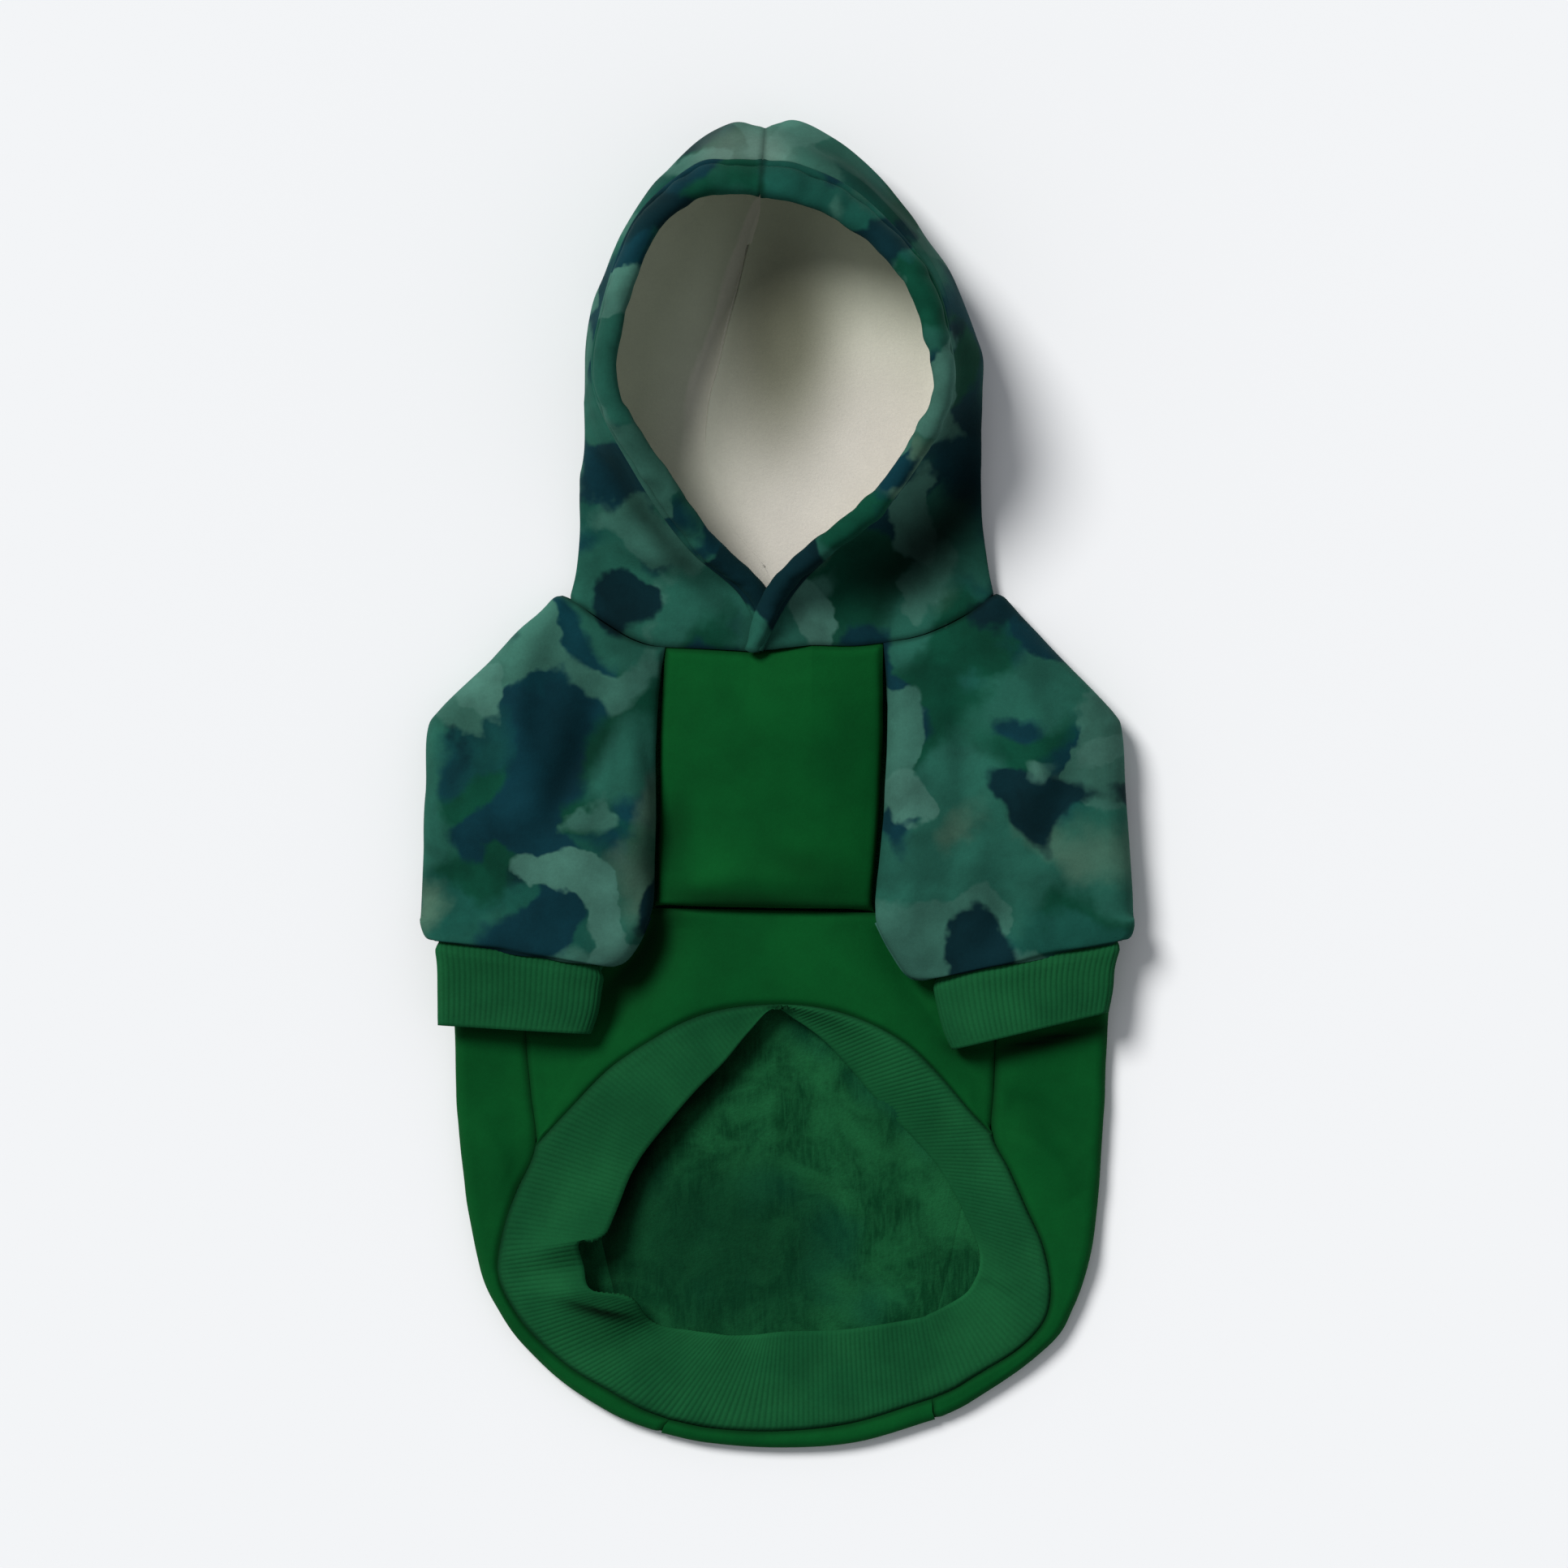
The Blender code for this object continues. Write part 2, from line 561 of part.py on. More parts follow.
def side_panel(side, table, flip):
    """Side of the trunk, from its top seam round the folded edge to its back seam."""
    sections = []
    for tx, ty, ox, oy, bx, by, tall in table:
        radius = EDGE_HEIGHT * tall / 2
        edge, under = trunk_point(ox, oy), trunk_point(bx, by)
        seam = trunk_point(tx, ty)
        seam[2] = 2 * radius
        fold = arc(edge, inward_of(edge, under), radius, 0.0)
        over = along(np.array((seam, fold[0])), 5)
        sections.append(np.vstack((over, along(fold, 9)[1:], along(np.array((fold[-1], under)), 5)[1:])))
    panel(f"side_panel_{side}", trim(np.array(sections)), FABRIC, green, flip=flip)


def back_panel():
    """Back of the trunk, flat on the floor, its lower end folded up to the rib seam."""
    rows = []
    strip = len(HEM_STRIP)
    for left, right in zip(BACK_LEFT, BACK_RIGHT):
        rows.append(along(np.array((left, right)), strip))
    folds = []
    for tx, ty, ox, oy, ux, uy in HEM_STRIP:
        radius = EDGE_HEIGHT * SIDE_LEFT[-1][6] / 2
        edge, under, seam = trunk_point(ox, oy), trunk_point(ux, uy), trunk_point(tx, ty, radius * 2)
        fold = along(arc(edge, inward_of(edge, under), radius, 0.0)[::-1], 7)
        folds.append(np.vstack((under[None], fold, seam[None])))
    rows = np.array(rows[:-1] + list(np.array(folds).transpose(1, 0, 2)))
    panel("back_panel", trim(rows), FABRIC, green)


def belly_and_chest():
    lower = np.array([trunk_point(x, y, z * EDGE_HEIGHT) for x, y, z in ARCH])
    left = along(np.array([trunk_point(*row[:2]) for row in SIDE_LEFT[:5]]), 6)
    right = along(np.array([trunk_point(*row[:2]) for row in SIDE_RIGHT[:5]]), 6)
    joints = [sleeve_point(*SLEEVE_LEFT[6][:2]), sleeve_point(*SLEEVE_RIGHT[6][:2])]
    for joint, drop in zip(joints, ARMPIT_DROPS):
        joint[1] -= drop
    top_line = curve([left[0], *joints, right[0]], 8)
    upper = along(top_line, len(ARCH))
    rows = []
    for number in range(6):
        part = number / 5
        line = upper * (1 - part) + lower * part
        ends = upper[[0, -1]] * (1 - part) + lower[[0, -1]] * part
        for column in range(len(ARCH)):
            share = column / (len(ARCH) - 1)
            pull = (left[number] - ends[0]) * (1 - share) + (right[number] - ends[1]) * share
            line[column, :2] += pull[:2]
            height = trunk_top(line[column, 0], 1.0 + 1.2 * part**4)
            line[column, 2] = height * (1 - part**6) + lower[column, 2] * part**6
            if number == 0:
                line[column, 2] = height
        line[[0, -1], 2] = EDGE_HEIGHT
        rows.append(line)
    panel("belly_panel", trim(np.array(rows)), FABRIC, green, flip=True)
    necks = np.vstack((along(NECKS[0][0][::-1], 5)[:-1], along(bridge(), 3), along(NECKS[1][0], 5)[1:]))
    sides = []
    for table in (SLEEVE_LEFT, SLEEVE_RIGHT):
        sides.append([sleeve_point(x, y, 1.2 * EDGE_HEIGHT) for x, y in [row[:2] for row in table[:7]]])
    rows = [necks]
    columns = len(necks)
    for number in range(7):
        a, b = sides[0][number], sides[1][number]
        line = along(np.array((a, b)), columns)
        part = (number + 1) / 7
        sag = necks[:, 1] - np.linspace(necks[0, 1], necks[-1, 1], columns)
        line[:, 1] += sag * (1 - part)
        for column in range(columns):
            share = column / (columns - 1)
            swell = math.sin(math.pi * share)
            line[column, 2] += CHEST_SWELL[number] * EDGE_HEIGHT * swell**0.7
        if number == 6:
            line[:, 2] = [max(trunk_top(x), 1.13 * EDGE_HEIGHT) for x in line[:, 0]]
        rows.append(line)
    panel("chest_panel", trim(np.array(rows)), FABRIC, green, flip=True)


def bridge():
    """Short piece of the neck seam under the crossed hems."""
    return np.array((NECKS[0][0][0], (NECKS[0][0][0] + NECKS[1][0][0]) / 2, NECKS[1][0][0]))


def hem_band():
    """Rib band round the hem opening, from the seam to its free edge."""
    seam = [trunk_point(*row[:2], EDGE_HEIGHT * row[6]) for row in SIDE_LEFT[4:]]
    seam += [trunk_point(*row[:2], EDGE_HEIGHT * SIDE_LEFT[-1][6]) for row in HEM_STRIP[1:-1]]
    seam += [trunk_point(*row[:2], EDGE_HEIGHT * row[6]) for row in SIDE_RIGHT[:3:-1]]
    seam += [trunk_point(x, y, z * EDGE_HEIGHT) for x, y, z in ARCH[-2:0:-1]]
    edge = [trunk_point(x, y, z * EDGE_HEIGHT) for x, y, z in BAND_EDGE]
    columns = []
    for start, end in zip(seam, edge):
        level = (end - start) * np.array((0.4, 0.4, 0))
        columns.append(along(bezier(start, start + level, end - level, end), BAND_ROWS))
    columns.append(columns[0])
    rows = np.array(columns).transpose(1, 0, 2)
    rows = trim(rows, first_row=2.5, first_col=0.0, last_col=0.0)
    panel("hem_band", rows, RIB, rib, closed=True, flip=False)


# how far each hood half bows sideways on the floor, and the back neck seam's place in armhole depths
FLOOR_SPREAD = {"left": -0.1, "right": 1.0}
BACK_NECK_Y = 0.02
HALF_TURN = np.linspace(math.pi / 2, -math.pi / 2, 13)
HOOD_ROWS = 17
WALL_COLUMNS = 7
FLOOR_COLUMNS = 6
TOP_COLUMNS = 7
BAND_ROWS = 5

clear_scene()
PART = bpy.data.collections.new("dog_hoodie")
bpy.context.scene.collection.children.link(PART)
camo = fleece("camo_fleece")
green = fleece("green_fleece")
rib = fleece("green_rib")
lining = fleece("hood_lining")

NECKS = [
    neck_paths(NECK_LEFT, NECK_LEFT_SHOULDER, NECK_CORNERS[0]),
    neck_paths(NECK_RIGHT, NECK_RIGHT_SHOULDER, NECK_CORNERS[1]),
]
BACK_LEFT = [sleeve_point(NECK_CORNERS[0][2], BACK_NECK_Y)]
BACK_LEFT += [sleeve_point(*row[4:6]) for row in SLEEVE_LEFT[:7]]
BACK_LEFT += [trunk_point(*row[4:6]) for row in SIDE_LEFT]
BACK_RIGHT = [sleeve_point(NECK_CORNERS[1][2], BACK_NECK_Y)]
BACK_RIGHT += [sleeve_point(*row[4:6]) for row in SLEEVE_RIGHT[:7]]
BACK_RIGHT += [trunk_point(*row[4:6]) for row in SIDE_RIGHT]

hood_pieces("left", hood_half(FLOOR_SPREAD["left"], HOOD_LEFT, NECKS[0], FACE_START[0]), True)
hood_pieces("right", hood_half(FLOOR_SPREAD["right"], HOOD_RIGHT, NECKS[1], FACE_START[1]), False)
sleeve("left", SLEEVE_LEFT, CUFF_LEFT, NECKS[0], False)
sleeve("right", SLEEVE_RIGHT, CUFF_RIGHT, NECKS[1], True)
side_panel("left", SIDE_LEFT, False)
side_panel("right", SIDE_RIGHT, True)
back_panel()
belly_and_chest()
hem_band()
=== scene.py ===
"""Dog hoodie laid on its back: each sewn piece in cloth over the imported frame, with floor, light, camera."""

import math
import bpy
import numpy as np
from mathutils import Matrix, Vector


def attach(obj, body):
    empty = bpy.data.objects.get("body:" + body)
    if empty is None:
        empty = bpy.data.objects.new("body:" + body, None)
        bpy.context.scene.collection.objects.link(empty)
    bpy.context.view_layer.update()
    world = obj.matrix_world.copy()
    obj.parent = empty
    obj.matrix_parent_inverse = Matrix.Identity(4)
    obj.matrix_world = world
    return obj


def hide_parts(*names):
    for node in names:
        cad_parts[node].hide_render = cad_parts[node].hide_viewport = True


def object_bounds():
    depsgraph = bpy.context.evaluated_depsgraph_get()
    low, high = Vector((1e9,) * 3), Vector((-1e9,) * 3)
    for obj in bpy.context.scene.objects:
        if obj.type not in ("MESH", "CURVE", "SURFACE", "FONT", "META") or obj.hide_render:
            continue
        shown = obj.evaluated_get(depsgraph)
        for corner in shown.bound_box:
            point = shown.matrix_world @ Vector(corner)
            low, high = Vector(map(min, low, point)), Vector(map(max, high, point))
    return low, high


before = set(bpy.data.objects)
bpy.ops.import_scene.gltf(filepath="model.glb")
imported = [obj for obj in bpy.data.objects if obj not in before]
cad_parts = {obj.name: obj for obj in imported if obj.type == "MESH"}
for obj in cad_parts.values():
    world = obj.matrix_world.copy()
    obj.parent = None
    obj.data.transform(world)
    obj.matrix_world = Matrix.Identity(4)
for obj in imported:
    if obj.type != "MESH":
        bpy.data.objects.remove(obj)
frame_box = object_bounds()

# Driving sizes in metres
SHOULDER_SPAN = 0.3508
HOOD_WIDTH = 0.196
HOOD_LENGTH = 0.2344
HOOD_HEIGHT = 0.080
ARMHOLE_DEPTH = 0.1512
TRUNK_LENGTH = 0.2672
CUFF_LENGTH = 0.040
TRUNK_WIDTH = SHOULDER_SPAN * 0.918
EDGE_HEIGHT = 0.012
BELLY_RISE = 0.0055
SLEEVE_HEIGHT = 0.028
REST_GAP = 0.0025
FABRIC = 0.0022
LINING = 0.0016
LINING_GAP = 0.0005
RIB = 0.0026
HEM_WIDTH = 0.018
HEM_DEPTH = 0.005
NECK_Y = 0.0922
BELLY_REACH = 0.177
SIDES = ("left", "right")

# face edge x, y, height, wall slope in degrees, outline x, y, height
HOOD_LEFT = (
    (-0.051, -0.002, 0.325, 20, -1.006, 0.055, 0.1),
    (-0.296, 0.097, 0.525, 30, -0.982, 0.148, 0.15),
    (-0.582, 0.254, 0.75, 50, -0.973, 0.268, 0.225),
    (-0.839, 0.418, 0.925, 65, -0.965, 0.439, 0.3),
    (-0.806, 0.589, 1, 65, -0.929, 0.584, 0.325),
    (-0.643, 0.763, 1, 60, -0.724, 0.785, 0.325),
    (-0.39, 0.843, 0.95, 45, -0.439, 0.933, 0.312),
    (-0.235, 0.848, 0.912, 42, -0.227, 0.991, 0.3),
    (-0.08, 0.845, 0.875, 40, -0.059, 0.985, 0.3),
)

# x, y, height of the floor seam, where the two hood halves meet
HOOD_SEAM = (
    (-0.06, 0.063, 0),
    (-0.25, 0.166, 0.013),
    (-0.345, 0.285, 0.037),
    (-0.337, 0.404, 0.075),
    (-0.286, 0.49, 0.1),
    (-0.25, 0.558, 0.1),
    (-0.208, 0.626, 0.075),
    (-0.158, 0.708, 0.037),
    (-0.104, 0.811, 0.005),
)

# face edge x, y, height, wall slope in degrees, outline x, y, height
HOOD_RIGHT = (
    (-0.039, -0.002, 0.4, 40, 1.059, 0.063, 0.1),
    (0.173, 0.08, 0.55, 76, 1.039, 0.148, 0.15),
    (0.52, 0.196, 0.75, 88, 1.035, 0.251, 0.225),
    (0.818, 0.396, 0.925, 86, 1.027, 0.387, 0.3),
    (0.786, 0.541, 1, 68, 0.99, 0.524, 0.325),
    (0.631, 0.689, 1, 22, 0.847, 0.669, 0.325),
    (0.337, 0.787, 0.963, 14, 0.512, 0.882, 0.312),
    (0.112, 0.829, 0.912, 18, 0.124, 0.998, 0.3),
    (-0.08, 0.845, 0.875, 40, -0.059, 0.985, 0.3),
)

# x, y, height in folded edges, from the front crossing to the sleeve seam
NECK_LEFT = (
    (-0.074, 0.175, 1.35),
    (-0.2, 0.167, 1.417),
    (-0.314, 0.161, 1.25),
)

# x, y, height in folded edges, from the sleeve seam to the neck corner
NECK_LEFT_SHOULDER = (
    NECK_LEFT[-1],
    (-0.359, 0.153, 1.208),
    (-0.416, 0.127, 1.167),
    (-0.473, 0.087, 1.083),
    (-0.542, 0.034, 1),
)

# x, y, height in folded edges, from the front crossing to the sleeve seam
NECK_RIGHT = (
    (0.097, 0.153, 1.65),
    (0.211, 0.156, 1.417),
    (0.298, 0.146, 1.25),
)

# x, y, height in folded edges, from the sleeve seam to the neck corner
NECK_RIGHT_SHOULDER = (
    NECK_RIGHT[-1],
    (0.393, 0.124, 1.208),
    (0.462, 0.093, 1.167),
    (0.53, 0.053, 1.083),
    (0.58, 0.024, 1),
)

# inner edge x, y, outer edge x, y
SLEEVE_LEFT = (
    (-0.32, 0.246, -0.66, 0.052),
    (-0.327, 0.352, -0.815, 0.218),
    (-0.332, 0.471, -0.944, 0.362),
    (-0.334, 0.59, -0.981, 0.44),
    (-0.336, 0.722, -0.984, 0.63),
    (-0.341, 0.854, -0.991, 0.828),
    (-0.345, 0.992, -0.998, 1.019),
    (-0.352, 1.04, -1, 1.048),
    (-0.382, 1.119, -0.995, 1.077),
    (-0.423, 1.183, -0.984, 1.103),
    (-0.478, 1.206, -0.961, 1.122),
)

# back seam x to either side, y, top height; no back seam where the sleeve is a tube
SLEEVE_BACK = (
    (0.416, 0.259, 0.68),
    (0.457, 0.378, 0.85),
    (0.491, 0.497, 0.95),
    (0.519, 0.59, 1),
    (0.558, 0.722, 1),
    (0.594, 0.854, 0.98),
    (0.651, 0.989, 0.95),
    (0, 0, 0.96),
    (0, 0, 0.96),
    (0, 0, 0.95),
    (0, 0, 0.93),
)

# inner edge x, y, outer edge x, y
SLEEVE_RIGHT = (
    (0.3, 0.246, 0.694, 0.072),
    (0.302, 0.352, 0.831, 0.241),
    (0.302, 0.471, 0.942, 0.372),
    (0.298, 0.59, 0.968, 0.444),
    (0.293, 0.722, 0.977, 0.63),
    (0.284, 0.854, 0.989, 0.828),
    (0.274, 0.992, 0.998, 1.019),
    (0.273, 1.058, 1, 1.045),
    (0.313, 1.148, 1, 1.071),
    (0.366, 1.233, 0.991, 1.101),
    (0.43, 1.246, 0.968, 1.122),
)

# inner edge x, y, outer edge x, y in cuff lengths below the sleeve, top height
CUFF_LEFT = (
    (-0.478, 0.32, -0.961, 0, 0.93),
    (-0.488, 0.54, -0.952, 0.29, 0.9),
    (-0.498, 0.84, -0.95, 0.67, 0.9),
    (-0.518, 1.12, -0.95, 1.01, 0.89),
)

# inner edge x, y, outer edge x, y in cuff lengths below the sleeve, top height
CUFF_RIGHT = (
    (0.43, 0.47, 0.968, 0, 0.93),
    (0.446, 0.79, 0.948, 0.29, 0.9),
    (0.466, 1.09, 0.941, 0.58, 0.9),
    (0.489, 1.31, 0.929, 0.85, 0.89),
)

# top seam x, y, outline x, y, back seam x, y, edge height
SIDE_LEFT = (
    (-0.752, 0.02, -0.985, 0.016, -0.709, 0.002, 1),
    (-0.759, 0.112, -0.998, 0.112, -0.687, 0.112, 1),
    (-0.769, 0.232, -0.988, 0.225, -0.665, 0.22, 1),
    (-0.754, 0.344, -0.983, 0.352, -0.632, 0.352, 1),
    (-0.739, 0.445, -0.97, 0.449, -0.602, 0.445, 1),
    (-0.794, 0.524, -0.958, 0.516, -0.573, 0.524, 1),
    (-0.829, 0.581, -0.943, 0.576, -0.55, 0.584, 1),
    (-0.851, 0.641, -0.92, 0.644, -0.525, 0.648, 1),
    (-0.851, 0.684, -0.896, 0.696, -0.503, 0.704, 0.95),
    (-0.821, 0.729, -0.856, 0.743, -0.478, 0.756, 0.9),
    (-0.752, 0.787, -0.786, 0.804, -0.448, 0.804, 0.85),
    (-0.64, 0.849, -0.675, 0.871, -0.416, 0.856, 0.8),
    (-0.516, 0.894, -0.545, 0.924, -0.389, 0.897, 0.75),
    (-0.416, 0.928, -0.441, 0.955, -0.361, 0.925, 0.72),
    (-0.329, 0.948, -0.354, 0.973, -0.332, 0.939, 0.7),
)

# top seam x, y, outline x, y, back seam x, y, edge height
SIDE_RIGHT = (
    (0.677, 0.02, 1.005, 0.016, 0.709, 0.002, 1),
    (0.672, 0.112, 1.02, 0.112, 0.687, 0.112, 1),
    (0.667, 0.232, 1.012, 0.22, 0.665, 0.22, 1),
    (0.662, 0.337, 1.005, 0.344, 0.635, 0.344, 1),
    (0.657, 0.422, 0.995, 0.442, 0.61, 0.442, 1),
    (0.709, 0.487, 0.988, 0.509, 0.583, 0.509, 1),
    (0.764, 0.561, 0.978, 0.572, 0.558, 0.576, 1),
    (0.809, 0.621, 0.963, 0.639, 0.533, 0.644, 1),
    (0.834, 0.689, 0.935, 0.701, 0.511, 0.699, 0.95),
    (0.831, 0.741, 0.906, 0.744, 0.493, 0.741, 0.9),
    (0.801, 0.78, 0.863, 0.793, 0.478, 0.786, 0.85),
    (0.727, 0.823, 0.757, 0.85, 0.471, 0.828, 0.8),
    (0.602, 0.868, 0.627, 0.903, 0.466, 0.861, 0.75),
    (0.54, 0.891, 0.558, 0.928, 0.463, 0.88, 0.72),
    (0.473, 0.909, 0.483, 0.948, 0.456, 0.9, 0.7),
)

# rib seam x, y, outline x, y, back x, y
HEM_STRIP = (
    SIDE_LEFT[-1][:6],
    (-0.193, 0.964, -0.212, 0.991, -0.168, 0.939),
    (0.006, 0.969, 0.006, 1, 0.031, 0.936),
    (0.23, 0.954, 0.242, 0.99, 0.242, 0.924),
    SIDE_RIGHT[-1][:6],
)

# x, y, height in folded edges, along the rib seam of the belly
ARCH = (
    (-0.739, 0.445, 1.083),
    (-0.709, 0.424, 1.117),
    (-0.64, 0.379, 1.183),
    (-0.516, 0.302, 1.283),
    (-0.391, 0.25, 1.358),
    (-0.267, 0.21, 1.417),
    (-0.143, 0.189, 1.458),
    (-0.001, 0.183, 1.483),
    (0.143, 0.19, 1.458),
    (0.28, 0.216, 1.417),
    (0.404, 0.259, 1.333),
    (0.503, 0.317, 1.25),
    (0.59, 0.379, 1.15),
    (0.657, 0.422, 1.083),
)

# free edge x, y, height in folded edges, from the left side seam round the bottom
BAND_EDGE = (
    (-0.453, 0.504, 1.4),
    (-0.494, 0.566, 1.5),
    (-0.530, 0.604, 1.9),
    (-0.602, 0.619, 2.0),
    (-0.590, 0.664, 1.4),
    (-0.566, 0.706, 1.7),
    (-0.446, 0.724, 1.5),
    (-0.378, 0.77, 0.6),
    (-0.26, 0.784, 0.5),
    (-0.198, 0.789, 0.5),
    (-0.143, 0.793, 0.5),
    (-0.068, 0.792, 0.5),
    (0.019, 0.786, 0.5),
    (0.217, 0.781, 0.5),
    (0.424, 0.762, 0.5),
    (0.466, 0.753, 0.5),
    (0.508, 0.741, 0.5),
    (0.573, 0.717, 0.583),
    (0.607, 0.689, 0.667),
    (0.62, 0.66, 0.583),
    (0.615, 0.629, 0.45),
    (0.585, 0.585, 0.4),
    (0.545, 0.535, 0.38),
    (0.49, 0.48, 0.38),
    (0.425, 0.435, 0.38),
    (0.36, 0.394, 0.38),
    (0.292, 0.35, 0.4),
    (0.225, 0.302, 0.5),
    (0.145, 0.25, 0.7),
    (0.06, 0.212, 0.95),
    (-0.012, 0.19, 1.3),
    (-0.085, 0.232, 1.35),
    (-0.163, 0.289, 1.35),
    (-0.247, 0.34, 1.35),
    (-0.329, 0.397, 1.35),
    (-0.399, 0.449, 1.35),
    (-0.431, 0.479, 1.35),
)

# neck corner x, y, back seam x on the neck line
NECK_CORNERS = (
    (-0.585, 0.013, -0.359),
    (0.612, 0.008, 0.359),
)

# face edge x, y, height in folded edges where the hem starts at the neck
FACE_START = (
    (0.006, 0.164, 1.25),
    (-0.081, 0.175, 1.75),
)

# chest rise in folded edges, from the neck seam to the belly seam
CHEST_SWELL = (0.3, 0.42, 0.5, 0.58, 0.66, 0.74, 0.78)

# cut width, cut length, cut area of each piece in metres, and how it is held
CUTS = {
    "hood_left": (0.18, 0.29, 0.0335, "gathered"),
    "hood_right": (0.24, 0.30, 0.0455, "gathered"),
    "hood_lining_left": (0.18, 0.29, 0.0305, "gathered"),
    "hood_lining_right": (0.24, 0.30, 0.0428, "gathered"),
    "face_hem_left": (0.044, 0.312, 0.0130, "stretched"),
    "face_hem_right": (0.046, 0.320, 0.0138, "stretched"),
    "chest_panel": (0.115, 0.135, 0.0152, "laid"),
    "belly_panel": (0.25, 0.20, 0.0165, "laid"),
    "side_panel_left": (0.10, 0.30, 0.0217, "folded"),
    "side_panel_right": (0.11, 0.30, 0.0252, "folded"),
    "back_panel": (0.24, 0.42, 0.0775, "laid"),
    "sleeve_left": (0.26, 0.20, 0.0355, "folded"),
    "sleeve_right": (0.26, 0.21, 0.0374, "folded"),
    "cuff_left": (0.180, 0.044, 0.0079, "stretched"),
    "cuff_right": (0.194, 0.043, 0.0083, "stretched"),
    "hem_band": (0.68, 0.040, 0.0265, "stretched"),
}

# Fine grids: how many fine columns take the place of one, then the rows and columns of each piece's grid
FINER = 9
ARC_STEPS, HALF_ARC = 16, 8
HALF_TURN = np.linspace(math.pi / 2, -math.pi / 2, 25)
HOOD_ROWS, HEM_ROWS, HEM_COLUMNS, BAND_ROWS, CUFF_ROWS = 150, 240, 44, 19, 22
WALL_COLUMNS, FLOOR_COLUMNS, TOP_COLUMNS = 6, 5, 6
OPEN_ROWS, ARMPIT_ROWS, TUBE_ROWS = 64, 6, 25
CORNER_ROWS, LOWER_ROWS = 44, 106
BELLY_GRID, CHEST_GRID, BACK_COLUMNS = (80, 150), (90, 150), 112
OUTERMOST = (TOP_COLUMNS + 2) * FINER

# Sections counted from the first: where a sleeve stops being open and where its tube starts and ends, then
# where on a side the rib starts, and where the band passes from one side to the strip, the other and the arch
OPEN_END, TUBE_START, TUBE_END = 7, 8, 11
BAND_START, SIDE_END, STRIP_END, OTHER_SIDE_END = 4, 10, 14, 24
SLEEVE_END = SLEEVE_LEFT[-1][3]

# Seams: how deep and wide the cloth dips, the height, size and reach of its puckers, and how wide it darkens
SEAM_DIP, DIP_WIDTH = 0.0011, 0.0022
CHEST_DIP, CHEST_DIP_WIDTH = 0.0020, 0.0027
HEM_DIP, SLEEVE_DIP, BELLY_DIP, RIB_DIP = 0.0006, 0.0013, 0.0014, 0.0012
PUCKER, PUCKER_SIZE, PUCKER_REACH = 0.00018, 0.005, 0.006
SEAM_TONE_WIDTH = 0.0018
EDGE_ROUND, LINING_ROUND, ROUND_FROM = 0.0007, 0.0004, 62
ALL_SIDES = ("start", "end", "first", "last")

# Hood: the hem's widths at the throat, its stitched channel, how it tapers and opens, how far the halves lap
# past the crown seam, the rows that the lining is set back, and where each half's floor runs and rises
THROAT_SHARES = (0.3, 0.75)
CHANNEL_AT, CHANNEL_WIDTH = 0.55, 0.13
HEM_TAPER, HEM_OPENING, HEM_WALL = 0.016, 0.16, 0.8
SHELL_LAP, LINING_LAP, LINING_SET_BACK = 0.0007, 0.0012, 8
# The last width here is that of the painted highlight band along the left lining's crown seam
LINING_DRAW, LINING_OVERLAP, SEAM_PAINTED_HIGHLIGHT_WIDTH = 0.007, 0.0006, 0.0125
FLOOR_SPREAD = {"left": -0.1, "right": 1.0}
FLOOR_RIDGE = {"left": 5.0, "right": 12.0}
FLOOR_TURN = 1.1

# Random pull, swell and gathers of the face hem: size of the bumps, place in the lattice of random values
HEM_PULLS = {"left": (0.012, 2.0), "right": (0.012, 5.0)}
HEM_SWELL, HEM_GATHER = (0.016, 8.0), (0.0065, 3.0)

# Sleeves and cuffs: where their tubes start above the floor, the puff by section, the shoulder's peak, the
# gathers above the cuff, and how far the cuff is tucked under
LOW_TUBE = EDGE_HEIGHT + REST_GAP
INNER_SEAM_SHARE = 0.45
PUFF_SECTIONS, PUFFS, CUFF_PUFF = (0, 2, 6), (0.1, 0.45, 1.0), 0.8
PEAKS, PEAK_WIDTH = {"left": (-0.0035, 0.0042, 0.0015), "right": (0.0015, 0.0042, 0.0015)}, 0.010
GATHER, GATHER_PITCH, GATHER_REACH, CUFF_SINK = 0.0007, 0.0065, 0.010, 0.0012
CUFF_TUCK, TUCK_REACH, CUFF_OVERLAP = 0.0034, 0.0065, 3.0

# Rib knit: from wale to wale, their height, the columns of each, the level that they rise about, how far from
# the seam and the free edge they fade, the swell of the cloth under them, and the band's share of more wales
WALE_PITCH, WALE_DEPTH, WALE_COLUMNS, WALE_LEVEL = 0.0027, 0.00036, 6, 0.6
SEAM_FADE, EDGE_FADE, RIB_SWELL, BAND_STRETCH = 0.003, 0.004, 0.0006, 1.12

# Trunk: the sleeves' row at the underarm, how far the belly's top line drops below each underarm, the drop of
# the back neck, and the steps of that top line between its given points
ARMPIT_ROW, ARMPIT_DROPS, BACK_NECK_Y, WAIST_STEPS = 6, (0.003, 0.005), 0.02, 40

SLOTS = {name: "green_fleece" for name in CUTS}
SLOTS.update({name: "camo_fleece" for name in CUTS if "hood" in name or "sleeve" in name or "hem_" in name})
SLOTS.update({name: "hood_lining" for name in CUTS if "lining" in name})
SLOTS.update({name: "green_rib" for name in ("cuff_left", "cuff_right", "hem_band")})

